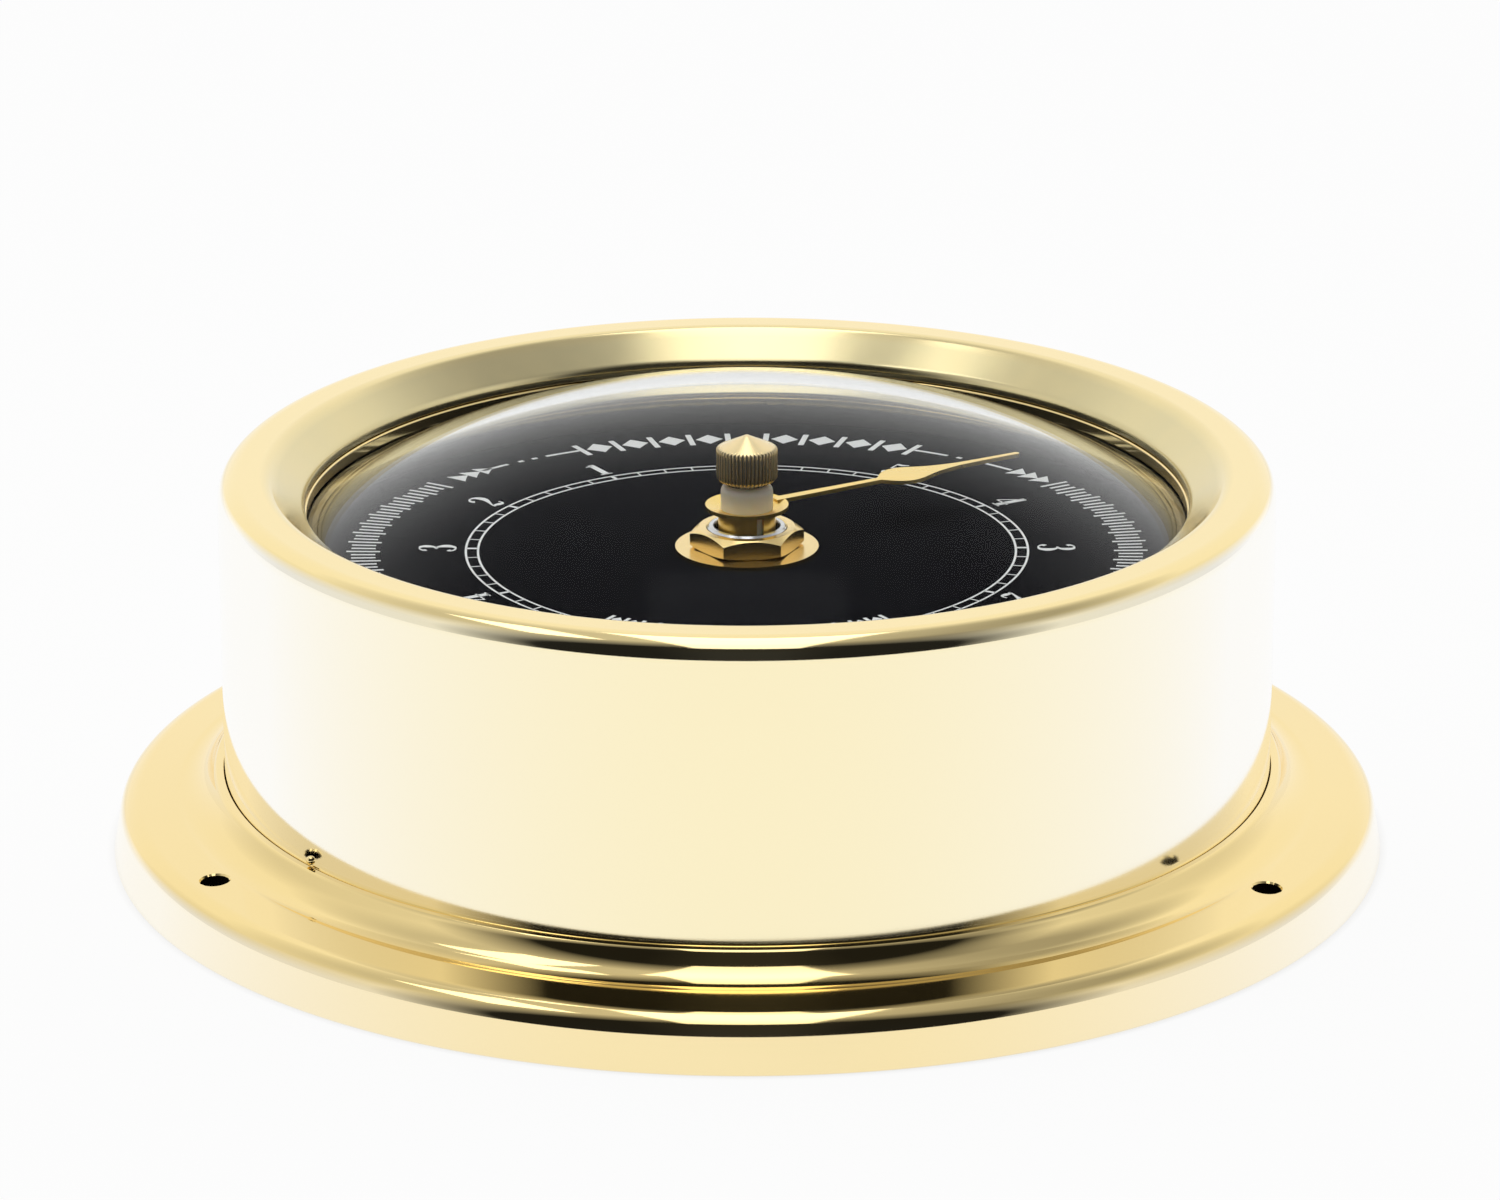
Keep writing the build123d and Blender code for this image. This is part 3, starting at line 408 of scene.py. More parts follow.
class Graph:
    """A node tree with short ways to add nodes and join them."""

    def __init__(self, tree: bpy.types.NodeTree) -> None:
        """Keeps the tree that is built."""
        self.tree = tree

    def add(self, kind: str, inputs: dict | None = None, **settings: object) -> bpy.types.Node:
        """Adds a node.

        Args:
            kind: the node's type name, without its ShaderNode prefix.
            inputs: values or sockets for the node's inputs, by name or index.
            settings: attributes of the node.

        Returns:
            The node.
        """
        node = self.tree.nodes.new("ShaderNode" + kind)
        for key, value in settings.items():
            setattr(node, key, value)
        for key, value in (inputs or {}).items():
            if isinstance(value, bpy.types.NodeSocket):
                self.tree.links.new(value, node.inputs[key])
            else:
                node.inputs[key].default_value = value
        return node

    def math(
        self, operation: str, first: object, second: object = 0.0, clamp: bool = False
    ) -> Socket:
        """Adds a Math node.

        Args:
            operation: what it works out.
            first: its first value or socket.
            second: its second, or None where the operation takes one.
            clamp: whether the result is held between 0 and 1.

        Returns:
            The result's socket.
        """
        inputs = {0: first} if second is None else {0: first, 1: second}
        return self.add("Math", inputs, operation=operation, use_clamp=clamp).outputs[0]

    def remap(self, value: Socket, source: Sequence[object], target: Sequence[object]) -> Socket:
        """Maps a value from one range to another, and holds it there.

        Args:
            value: the value's socket.
            source: the range's two ends.
            target: what the two ends become.

        Returns:
            The result's socket.
        """
        names = ("From Min", "From Max", "To Min", "To Max")
        inputs = {"Value": value, **dict(zip(names, (*source, *target)))}
        return self.add("MapRange", inputs).outputs["Result"]

    def mix(self, share: object, first: object, second: object) -> Socket:
        """Mixes two values.

        Args:
            share: how much of the second there is.
            first: the first value or socket.
            second: the second.

        Returns:
            The result's socket.
        """
        return self.add("Mix", {0: share, 2: first, 3: second}).outputs[0]

    def noise(self, place: Socket, scale: object, detail: float) -> Socket:
        """Adds soft noise.

        Args:
            place: where it is read.
            scale: how fine it is.
            detail: how many finer layers it has.

        Returns:
            The noise's socket, about 0.5.
        """
        return self.add("TexNoise", {"Vector": place, "Scale": scale, "Detail": detail}).outputs[0]

    def place(self) -> Socket:
        """Gives the place on the piece, in metres."""
        return self.add("TexCoord").outputs["Object"]

    def axes(self) -> tuple[Socket, Socket, Socket, Socket]:
        """Splits the place on the piece.

        Returns:
            Its x, y and z, and its distance from the Z axis.
        """
        x, y, z = self.add("SeparateXYZ", {0: self.place()}).outputs
        squares = self.math("ADD", self.math("MULTIPLY", x, x), self.math("MULTIPLY", y, y))
        return x, y, z, self.math("SQRT", squares, None)

    def show(self, shader: Socket, kind: str = "OutputMaterial") -> None:
        """Ends the tree in an output that shows a shader.

        Args:
            shader: the shader's socket.
            kind: the output's type name.
        """
        output = self.add(kind)
        self.tree.links.new(shader, output.inputs["Surface"])

    def blend(self, share: object, first: object, second: object) -> Socket:
        """Mixes two colours.

        Args:
            share: how much of the second there is.
            first: the first colour or socket.
            second: the second.

        Returns:
            The result's socket.
        """
        node = self.add("Mix", {0: share}, data_type="RGBA")
        for index, value in ((6, first), (7, second)):
            if isinstance(value, bpy.types.NodeSocket):
                self.tree.links.new(value, node.inputs[index])
            else:
                node.inputs[index].default_value = (*value, 1)
        return node.outputs[2]


def new_group(
    name: str, inputs: dict[str, float], outputs: Sequence[str]
) -> tuple[Graph, bpy.types.Node, bpy.types.Node]:
    """Starts a shader group with float sockets.

    Args:
        name: the group's name.
        inputs: the inputs' names and default values.
        outputs: the outputs' names.

    Returns:
        The graph, its group input node and its group output node.
    """
    tree = bpy.data.node_groups.new(name, "ShaderNodeTree")
    for key, value in inputs.items():
        socket = tree.interface.new_socket(key, in_out="INPUT", socket_type="NodeSocketFloat")
        socket.default_value = value
    for key in outputs:
        tree.interface.new_socket(key, in_out="OUTPUT", socket_type="NodeSocketFloat")
    graph = Graph(tree)
    return graph, tree.nodes.new("NodeGroupInput"), tree.nodes.new("NodeGroupOutput")


def turning_group() -> bpy.types.NodeTree:
    """Builds the effect of fine lines left by turning and polishing on a lathe.

    The lines run round Z: noise is read at (radius, height) finely and along the turn coarsely.

    Returns:
        A group with a Height of the lines and a Haze of broad wiping marks.
    """
    graph, given, result = new_group(
        "turning_lines", {"Lines per mm": 14.0, "Haze per m": 22.0}, ("Height", "Haze")
    )
    x, y, z, radius = graph.axes()
    scale = graph.math("MULTIPLY", given.outputs[0], 1 / MM)
    parts = {
        0: graph.math("MULTIPLY", radius, scale),
        1: graph.math("MULTIPLY", z, scale),
        2: graph.math("MULTIPLY", graph.math("ARCTAN2", y, x), TURN_PACE),
    }
    lines = graph.noise(graph.add("CombineXYZ", parts).outputs[0], 1.0, 2.0)
    haze = graph.noise(graph.place(), given.outputs[1], 4.0)
    graph.tree.links.new(lines, result.inputs["Height"])
    graph.tree.links.new(haze, result.inputs["Haze"])
    return graph.tree


def grain_group() -> bpy.types.NodeTree:
    """Builds the effect of a fine even grain, as on moulded plastic, paint and cast metal.

    Returns:
        A group with a Height of the grain and a Patch of broad variation.
    """
    graph, given, result = new_group("fine_grain", {"Grain per m": 2500.0}, ("Height", "Patch"))
    fine = graph.noise(graph.place(), given.outputs[0], 3.0)
    broad = graph.noise(graph.place(), PATCH_SCALE, 5.0)
    graph.tree.links.new(fine, result.inputs["Height"])
    graph.tree.links.new(broad, result.inputs["Patch"])
    return graph.tree


@dataclass(frozen=True)
class PaintedSheenWall:
    """An outer wall of polished brass, its colour painted paler as a painted reflection and sheen.
    """

    radius: float
    front: Colour
    side: Colour
    edge: float = 0.3
    low_angles: tuple[float, float] = (0.05, 0.62)

    def colour(self, graph: Graph, elsewhere: Socket) -> Socket:
        """Mixes the wall's two colours of painted reflection, the paler where it is seen at a low
        angle.

        Args:
            graph: the material's graph.
            elsewhere: the metal's colour inside the wall's radius.

        Returns:
            The colour's socket.
        """
        edges = ((self.radius - self.edge) * MM, (self.radius + self.edge) * MM)
        outside = graph.remap(graph.axes()[3], edges, (0.0, 1.0))
        # Painted sheen: the colour turns paler towards low angles, standing in for the white
        # reflection of the bright table.
        facing = graph.add("LayerWeight", {"Blend": 0.5}).outputs["Facing"]
        low = graph.remap(facing, self.low_angles, (0.0, 1.0))
        return graph.blend(outside, elsewhere, graph.blend(low, self.front, self.side))


class Effects:
    """The shader groups that several finishes share, each built once."""

    def __init__(self) -> None:
        """Builds the groups."""
        self.turning = turning_group()
        self.grain = grain_group()


def blank(holder: bpy.types.Material | bpy.types.World) -> Graph:
    """Empties the node tree of a material or a world.

    Args:
        holder: the material or world.

    Returns:
        Its graph.
    """
    holder.use_nodes = True
    holder.node_tree.nodes.clear()
    return Graph(holder.node_tree)


def start_material(name: str, metallic: float) -> tuple[bpy.types.Material, Graph, bpy.types.Node]:
    """Makes a material with a Principled shader.

    Args:
        name: the material's name.
        metallic: 1 for metal, 0 for anything else.

    Returns:
        The material, its graph and the shader node.
    """
    material = bpy.data.materials.new(name)
    graph = blank(material)
    shader = graph.add("BsdfPrincipled", {"Metallic": metallic})
    graph.show(shader.outputs[0])
    return material, graph, shader


@dataclass(frozen=True)
class Skin:
    """What changes over a finish: its colour, its roughness and the height of its relief."""

    colour: Socket
    rough: Socket
    height: Socket

    def join(self, graph: Graph, shader: bpy.types.Node, relief: float, depth: float) -> None:
        """Joins the three to a shader.

        Args:
            graph: the material's graph.
            shader: the Principled shader.
            relief: how strongly the relief shows.
            depth: how deep it is, in millimetres.
        """
        inputs = {"Strength": relief, "Distance": depth * MM, "Height": self.height}
        bump = graph.add("Bump", inputs)
        graph.tree.links.new(self.colour, shader.inputs["Base Color"])
        graph.tree.links.new(self.rough, shader.inputs["Roughness"])
        graph.tree.links.new(bump.outputs[0], shader.inputs["Normal"])


def use_group(graph: Graph, tree: bpy.types.NodeTree, values: dict[str, float]) -> bpy.types.Node:
    """Places a shared effect in a material with its own values.

    Args:
        graph: the material's graph.
        tree: the effect.
        values: the values of its inputs.

    Returns:
        The group node.
    """
    node = graph.add("Group", node_tree=tree)
    for key, value in values.items():
        node.inputs[key].default_value = value
    return node


# Finishes


@dataclass(frozen=True)
class TurnedMetal:
    """A metal turned on a lathe and polished, with fine lines and faint wiping marks."""

    name: str
    colour: Colour
    roughness: float
    haze: float = 0.04
    relief: float = 0.02
    lines: float = 14.0
    # shaded paints the hollows that the piece marks with painted shade; wall paints painted
    # reflection onto an outer wall.
    shaded: bool = False
    wall: PaintedSheenWall | None = None
    deeper: float = 0.94
    # The colour and roughness of the painted shade.
    shade: Colour = (0.02, 0.015, 0.008)
    shade_roughness: float = 0.8

    def material(self, effects: Effects) -> bpy.types.Material:
        """Builds the finish, painted dark and rough as painted shade where the piece's shade
        attribute is 1.

        Args:
            effects: the shared effects.

        Returns:
            The material.
        """
        material, graph, shader = start_material(self.name, 1.0)
        marks = use_group(graph, effects.turning, {"Lines per mm": self.lines}).outputs
        deeper = tuple(self.deeper * part for part in self.colour)
        colour = graph.blend(marks["Haze"], deeper, self.colour)
        rough = graph.remap(marks["Haze"], HAZE_RANGE, (self.roughness, self.roughness + self.haze))
        # Painted shade: marked hollows turn near black and rough.
        if self.shaded:
            mark = graph.add("Attribute", attribute_name="painted_shade_area").outputs["Fac"]
            colour = graph.blend(mark, colour, self.shade)
            rough = graph.mix(mark, rough, self.shade_roughness)
        # Painted reflection and sheen on the outer wall.
        if self.wall:
            colour = self.wall.colour(graph, colour)
        Skin(colour, rough, marks["Height"]).join(graph, shader, self.relief, LINE_DEPTH)
        return material


@dataclass(frozen=True)
class DrumBrass:
    """The drum's lacquered brass: polished wall and crest, and a satin cone inside the crest, the
    cone's colour painted darker as painted shade and the wall's colour carrying painted reflection.
    """

    name: str
    colour: Colour
    roughness: float
    satin: float
    cone_radius: float
    cone_height: float
    wall: PaintedSheenWall
    # Painted shade: the satin cone's two colours are painted darker than the polished brass, to dim
    # what it reflects.
    painted_shade_satin: Colour = (0.76, 0.65, 0.36)
    painted_shade_satin_patch: Colour = (0.68, 0.60, 0.35)
    deeper: float = 0.95
    haze: float = 0.05
    satin_spread: tuple[float, float] = (-0.03, 0.05)
    cone_edge: float = 1.2
    lines: float = 16.0
    grain: float = 3200.0
    relief: float = 0.03

    def cone(self, graph: Graph) -> Socket:
        """Masks the cone, which lies inside a radius and above a height.

        Args:
            graph: the material's graph.

        Returns:
            The mask's socket, 1 on the cone.
        """
        _, _, height, radius = graph.axes()
        masks = []
        for value, middle, target in (
            (radius, self.cone_radius, (1.0, 0.0)),
            (height, self.cone_height, (0.0, 1.0)),
        ):
            ends = ((middle - self.cone_edge) * MM, (middle + self.cone_edge) * MM)
            masks.append(graph.remap(value, ends, target))
        return graph.math("MULTIPLY", *masks)

    def material(self, effects: Effects) -> bpy.types.Material:
        """Builds the finish.

        Args:
            effects: the shared effects.

        Returns:
            The material.
        """
        material, graph, shader = start_material(self.name, 1.0)
        marks = use_group(graph, effects.turning, {"Lines per mm": self.lines}).outputs
        grain = use_group(graph, effects.grain, {"Grain per m": self.grain}).outputs
        cone = self.cone(graph)
        wiped = graph.remap(marks["Haze"], HAZE_RANGE, (self.roughness, self.roughness + self.haze))
        satin = tuple(self.satin + change for change in self.satin_spread)
        matt = graph.remap(grain["Patch"], PATCH_RANGE, satin)
        rough = graph.mix(cone, wiped, matt)
        deeper = tuple(self.deeper * part for part in self.colour)
        polished = graph.blend(marks["Haze"], deeper, self.colour)
        clear = graph.remap(grain["Patch"], PATCH_RANGE, (0.0, 1.0))
        # The cone's colour, painted darker as painted shade, varies in patches.
        colour = graph.blend(cone, polished, graph.blend(clear, self.painted_shade_satin_patch, self.painted_shade_satin))
        # Painted reflection and sheen on the outer wall.
        colour = self.wall.colour(graph, colour)
        height = graph.mix(cone, marks["Height"], grain["Height"])
        Skin(colour, rough, height).join(graph, shader, self.relief, LINE_DEPTH)
        return material


@dataclass(frozen=True)
class Grained:
    """Paint, plastic, rubber or plain metal with a fine grain."""

    name: str
    colour: Colour
    roughness: float
    metallic: float = 0.0
    spread: float = 0.08
    grain: float = 2500.0
    relief: float = 0.1
    depth: float = LINE_DEPTH
    subsurface: float = 0.0
    gloss: float = 0.5
    rough_spread: tuple[float, float] = (-0.04, 0.06)

    def material(self, effects: Effects) -> bpy.types.Material:
        """Builds the finish.

        Args:
            effects: the shared effects.

        Returns:
            The material.
        """
        material, graph, shader = start_material(self.name, self.metallic)
        grain = use_group(graph, effects.grain, {"Grain per m": self.grain}).outputs
        darker = tuple((1 - self.spread) * part for part in self.colour)
        lighter = tuple(min(1.0, (1 + self.spread) * part) for part in self.colour)
        colour = graph.blend(grain["Patch"], darker, lighter)
        ends = tuple(self.roughness + change for change in self.rough_spread)
        rough = graph.remap(grain["Patch"], PATCH_RANGE, ends)
        shader.inputs["Specular IOR Level"].default_value = self.gloss
        if self.subsurface:
            shader.inputs["Subsurface Weight"].default_value = self.subsurface
            shader.inputs["Subsurface Scale"].default_value = MM
        Skin(colour, rough, grain["Height"]).join(graph, shader, self.relief, self.depth)
        return material


@dataclass(frozen=True)
class ClearGlass:
    """Clear glass with a thin coat against glare, that lets light through to the dial."""

    name: str = "clear_dome_glass"
    tint: Colour = (0.99, 0.995, 0.99)
    index: float = 1.5
    coat_power: float = 2.0
    bare_power: float = 1.15
    coat_reach: tuple[float, float] = (28.0, 58.0)
    inside_loss: float = 0.1
    inside_power: float = 1.25
    dust: float = 0.02
    dust_grain: float = 900.0
    dust_range: tuple[float, float] = (0.4, 0.75)

    def outside_share(self, graph: Graph, fresnel: Socket) -> Socket:
        """Builds the share of light that the outside reflects.

        It is plain glass's share to a power, so that the coat takes away most where plain glass
        reflects little. The coat thins out from the middle to the left and right.

        Args:
            graph: the material's graph.
            fresnel: plain glass's share.

        Returns:
            The share's socket.
        """
        reach = tuple(distance * MM for distance in self.coat_reach)
        aside = graph.math("ABSOLUTE", graph.axes()[0], None)
        power = graph.remap(aside, reach, (self.coat_power, self.bare_power))
        return graph.math("POWER", fresnel, power)

    def material(self, effects: Effects) -> bpy.types.Material:
        """Builds the finish, with a trace of dust in its roughness.

        Light through the glass refracts, and a shadow's light goes straight through.

        Args:
            effects: the shared effects.

        Returns:
            The material.
        """
        material = bpy.data.materials.new(self.name)
        graph = blank(material)
        grain = use_group(graph, effects.grain, {"Grain per m": self.dust_grain}).outputs
        rough = graph.remap(grain["Patch"], self.dust_range, (0.0, self.dust))
        clear = (*self.tint, 1)
        through = graph.add("BsdfRefraction", {"Color": clear, "Roughness": 0.0, "IOR": self.index})
        mirror = graph.add("BsdfGlossy", {"Color": (1, 1, 1, 1), "Roughness": rough})
        fresnel = graph.add("Fresnel", {"IOR": self.index}).outputs[0]
        within = graph.math("SUBTRACT", fresnel, self.inside_loss, clamp=True)
        within = graph.math("POWER", within, self.inside_power)
        inside = graph.add("NewGeometry").outputs["Backfacing"]
        share = graph.mix(inside, self.outside_share(graph, fresnel), within)
        glass = graph.add("MixShader", {0: share, 1: through.outputs[0], 2: mirror.outputs[0]})
        open_way = graph.add("BsdfTransparent", {"Color": clear})
        is_shadow = graph.add("LightPath").outputs["Is Shadow Ray"]
        mixed = graph.add("MixShader", {0: is_shadow, 1: glass.outputs[0], 2: open_way.outputs[0]})
        graph.show(mixed.outputs[0])
        return material


# Painted reflection: each outer wall's colour is painted paler than its brass, and paler still at
# low angles.
SKIRT_PAINTED_SHEEN = PaintedSheenWall(83.7, (0.965, 0.80, 0.45), (1.0, 0.95, 0.83))
DRUM_PAINTED_SHEEN = PaintedSheenWall(69.4, (0.99, 0.885, 0.58), (1.0, 0.985, 0.94))

FINISHES = {
    "base_brass": TurnedMetal(
        "base_brass", (0.94, 0.74, 0.34), 0.05, relief=0.015, shaded=True, wall=SKIRT_PAINTED_SHEEN
    ),
    "ring_brass": TurnedMetal("ring_brass", (0.93, 0.74, 0.36), 0.07),
    "hub_brass": TurnedMetal("hub_brass", (0.93, 0.70, 0.32), 0.22, relief=0.04),
    "drum_brass": DrumBrass(
        "drum_brass", (0.955, 0.78, 0.395), 0.05, 0.22, 63.2, 46.9, DRUM_PAINTED_SHEEN
    ),
    "brass_hand": Grained("hammered_gilt", (0.93, 0.67, 0.21), 0.28, 1.0, 0.08, 1500.0, 0.8, 0.05),
    "brass_knob": TurnedMetal("knob_brass", (0.92, 0.72, 0.39), 0.2, 0.06, 0.03, shaded=True),
    "pillar_brass": TurnedMetal("pillar_brass", (0.78, 0.60, 0.30), 0.22, 0.08, 0.1),
    "clear_glass": ClearGlass(),
    "dial_black": Grained("dial_paint", (0.010, 0.010, 0.012), 0.5, relief=0.0, gloss=0.0),
    "dial_print": Grained(
        "dial_print", (0.9, 0.91, 0.92), 0.5, spread=0.03, relief=0.05, gloss=0.2
    ),
    "trim_black": Grained("trim_black", (0.012, 0.012, 0.012), 0.5),
    "rubber_black": Grained("rubber_black", (0.02, 0.02, 0.02), 0.75, relief=0.3, depth=0.05),
    "steel_bright": TurnedMetal("steel_bright", (0.66, 0.66, 0.68), 0.18, 0.08, 0.08),
    "steel_screw": TurnedMetal("steel_screw", (0.55, 0.56, 0.58), 0.3, 0.1, 0.1),
    "plate_alloy": Grained("plate_alloy", (0.68, 0.69, 0.70), 0.4, 1.0, 0.06, 1800.0, 0.15),
    "back_paint": Grained("back_paint", (0.03, 0.03, 0.032), 0.55, relief=0.35, depth=0.05),
    "movement_black": Grained("movement_black", (0.035, 0.035, 0.038), 0.5, relief=0.4, depth=0.05),
    "movement_clear": Grained("movement_clear", (0.68, 0.69, 0.68), 0.4, relief=0.15),
    "nylon_white": Grained("nylon_white", (0.90, 0.83, 0.71), 0.42, subsurface=0.2, spread=0.03),
    "wheel_plastic": Grained("wheel_plastic", (0.80, 0.74, 0.55), 0.4),
    "setter_grey": Grained("setter_grey", (0.24, 0.25, 0.27), 0.45, relief=0.3),
    "board_green": Grained("board_green", (0.03, 0.16, 0.07), 0.3),
    "chip_black": Grained("chip_black", (0.02, 0.02, 0.02), 0.35),
    "core_steel": Grained("core_steel", (0.42, 0.43, 0.45), 0.4, 1.0, 0.1, 1800.0, 0.2),
    "coil_copper": TurnedMetal("coil_copper", (0.70, 0.30, 0.13), 0.25, 0.1, 0.3, 8.0),
    "cell_jacket": Grained("cell_jacket", (0.10, 0.11, 0.12), 0.3, 0.3),
    "contact_steel": Grained("contact_steel", (0.68, 0.67, 0.64), 0.3, 1.0, 0.06, 1800.0, 0.15),
    "magnet_grey": Grained("magnet_grey", (0.12, 0.12, 0.13), 0.5, 0.6),
}

# Nodes whose finish isn't their slot's
NODE_FINISH = {
    "back_plate": "back_paint",
    "case_index_pin": "ring_brass",
    "hub_washer": "hub_brass",
    "hub_nut": "hub_brass",
    "dial_plate": "dial_black",
    "setting_knob": "brass_knob",
    "minute_arbor": "pillar_brass",
}


class Workshop:
    """Holds the frame and the finishes, and makes each material once."""

    def __init__(self, frame: dict) -> None:
        """Builds the shared effects and an empty store of materials.
        """
        self.frame = frame
        self.effects = Effects()
        self.made: dict[str, bpy.types.Material] = {}

    def finish(self, name: str) -> bpy.types.Material:
        """Gives the material of a finish, built at its first use.

        Args:
            name: the finish's name in FINISHES.

        Returns:
            The material.
        """
        if name not in self.made:
            self.made[name] = FINISHES[name].material(self.effects)
        return self.made[name]

    def dress_nodes(self) -> None:
        """Gives every CAD node the finish of its slot, ring_brass where its slot names no finish,
        or its own where NODE_FINISH names one.
        """
        slots = {row["node"]: row["material_slot"] for row in self.frame["record"]["subparts"]}
        for name, node in self.frame["nodes"].items():
            slot = slots[name] if slots[name] in FINISHES else "ring_brass"
            node.data.materials.clear()
            node.data.materials.append(self.finish(NODE_FINISH.get(name, slot)))


def span(node: str) -> tuple[Array, Array]:
    """Gives a CAD node's lowest and highest corners in millimetres.

    Args:
        node: the node's name.

    Returns:
        The two corners.
    """
    low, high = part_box(node)
    return np.array(low) / MM, np.array(high) / MM


# Sub-assemblies


@dataclass
class Base:
    """The flanged base: a sloping edge, a flat with three screw holes, and the neck."""

    skirt_lean: float = 1.3
    skirt_wall: float = 1.8
    flange_top: float = 7.4
    web: float = 1.8
    edge_rounding: float = 3.0
    neck_radius: float = 71.4
    neck_sweep_width: float = 5.35
    crown: float = 0.45
    flat_end: float = 82.5
    neck_sweep_turn: float = 65.0
    neck_steps: int = 24
    neck_lip: float = 0.3
    foot_radius: float = 73.0
    recess_radius: float = 71.8
    recess_top: float = 1.8
    bore_radius: float = 70.08
    ledge_radius: float = 66.0
    ledge_top: float = 5.0
    soft_edge: float = 0.2
    hole_circle: float = 78.5
    hole_radius: float = 1.9
    hole_bevel: float = 0.2
    hole_turns: tuple[float, ...] = (90.0, 210.0, 330.0)
    pattern_turn: float = -1.4
    band_half: float = 2.25
    band_steps: int = 12
    segments: int = 384
    painted_shade_cell_count: int = 0

    def outline(self) -> Array:
        """Draws the section, with evenly spaced points across the band that holds the holes.

        Returns:
            The section's points (radius, height).
        """
        radius, neck_top = span("flange_base")[1][[0, 2]]
        under = self.flange_top - self.web
        band = np.linspace(-self.band_half, self.band_half, self.band_steps + 1) + self.hole_circle
        edge = self.soft_edge
        corners = [(self.recess_radius, 0.0, edge / 2), (self.foot_radius, 0.0, edge)]
        corners.append((self.foot_radius, under, 3 * edge))
        corners += [(place, under, 0.0) for place in band]
        corners += [
            (radius - self.skirt_wall - self.skirt_lean, under, 3 * edge),
            (radius - self.skirt_wall, 0.0, edge),
            (radius, 0.0, edge),
            (radius - self.skirt_lean, self.flange_top, self.edge_rounding),
        ]
        corners += [(place, self.flange_top, 0.0) for place in band[::-1]]
        corners += [
            *self.neck_sweep(neck_top),
            (self.bore_radius, neck_top, self.neck_lip),
            (self.bore_radius, self.ledge_top, edge),
            (self.ledge_radius, self.ledge_top, edge),
            (self.ledge_radius, self.recess_top, edge),
            (self.recess_radius, self.recess_top, edge),
        ]
        return rounded_outline(corners, step=4.0)

    def neck_sweep(self, neck_top: float) -> list[Corner]:
        """Draws the hollow curve from the flat up to the neck.

        It is part of an oval that touches the flat: at a turn t the curve has come in by the width
        times sin t and up by the height times 1 - cos t.

        Args:
            neck_top: the height at which the neck ends.

        Returns:
            The corners from the flat to the neck's edge.
        """
        turn = np.radians(np.linspace(0, self.neck_sweep_turn, self.neck_steps))
        inwards = self.neck_sweep_width * (np.sin(turn[-1]) - np.sin(turn))
        climb = neck_top - self.neck_lip - self.flange_top
        rise = climb * (1 - np.cos(turn)) / (1 - np.cos(turn[-1]))
        curve = [
            (self.neck_radius + x, self.flange_top + y, 0.0) for x, y in zip(inwards[1:], rise[1:])
        ]
        return [*curve, (self.neck_radius - self.neck_lip, neck_top, self.neck_lip / 2)]

    def band_rows(self, outline: Array, height: float) -> Array:
        """Finds the outline's points on the band at one height.

        Args:
            outline: the section.
            height: the height.

        Returns:
            The points' numbers.
        """
        near = np.abs(outline[:, 0] - self.hole_circle) < self.band_half + self.soft_edge / 10
        return np.flatnonzero(near & np.isclose(outline[:, 1], height))

    def patch(self, rows: Array, column: int, width: int) -> tuple[Array, Array]:
        """Numbers one square of the band round a hole.

        Args:
            rows: the outline's points across the band.
            column: the segment that the hole stands on.
            width: how many points the outline has.

        Returns:
            The square's border, in order, and a mask of the cells inside it.
        """
        half = self.band_steps // 2
        across = (column + np.arange(-half, half + 1)) % self.segments
        border = np.concatenate(
            [
                across[0] * width + rows[:-1],
                across[:-1] * width + rows[-1],
                across[-1] * width + rows[:0:-1],
                across[:0:-1] * width + rows[0],
            ]
        )
        inside = np.zeros((self.segments, width), dtype=bool)
        inside[np.ix_(across[:-1], rows[:-1])] = True
        return border, inside.ravel()

    def surface(self) -> Surface:
        """Turns the section and cuts the three holes.

        The square of cells at each hole is left out, above and below, and rings of cells join its
        border to the bevel, the hole's upper circle, its lower circle and the border below.

        Returns:
            The closed surface.
        """
        outline = self.outline()
        whole = lathe(outline, self.segments, self.pattern_turn)
        width = len(outline)
        keep = np.ones(len(whole.faces[0]), dtype=bool)
        points = [whole.points]
        walls, painted_shade_area = [], []
        count = len(whole.points)
        top, under = self.flange_top, self.flange_top - self.web
        for turn in self.hole_turns:
            column = round(turn / 360 * self.segments)
            rows = self.band_rows(outline, under)
            upper, upper_cells = self.patch(self.band_rows(outline, top), column, width)
            lower = self.patch(rows[::-1], column, width)[0]
            keep &= ~upper_cells & ~self.patch(rows, column, width)[1]
            place = radians(turn + self.pattern_turn)
            middle = self.hole_circle * np.array((cos(place), sin(place)))
            outwards = whole.points[upper][:, :2] - middle
            outwards /= np.linalg.norm(outwards, axis=1, keepdims=True)
            rings = (
                (self.hole_radius + self.hole_bevel, top),
                (self.hole_radius, top - self.hole_bevel),
                (self.hole_radius, under),
            )
            loops = [upper]
            for radius, height in rings:
                flat = middle + radius * outwards
                points.append(np.column_stack([flat, np.full(len(flat), height)]))
                loops.append(count + np.arange(len(flat)))
                count += len(flat)
            loops.append(lower)
            for ring, (first, second) in enumerate(zip(loops[:-1], loops[1:])):
                cells = np.stack([first, np.roll(first, -1), np.roll(second, -1), second], axis=-1)
                # The hole's wall and the underside round it take painted shade; the flat and the
                # bevel do not.
                (painted_shade_area if ring > 1 else walls).append(cells)
        self.painted_shade_cell_count = sum(len(cells) for cells in painted_shade_area)
        return Surface(self.crowned(np.vstack(points)), [whole.faces[0][keep], *walls, *painted_shade_area])

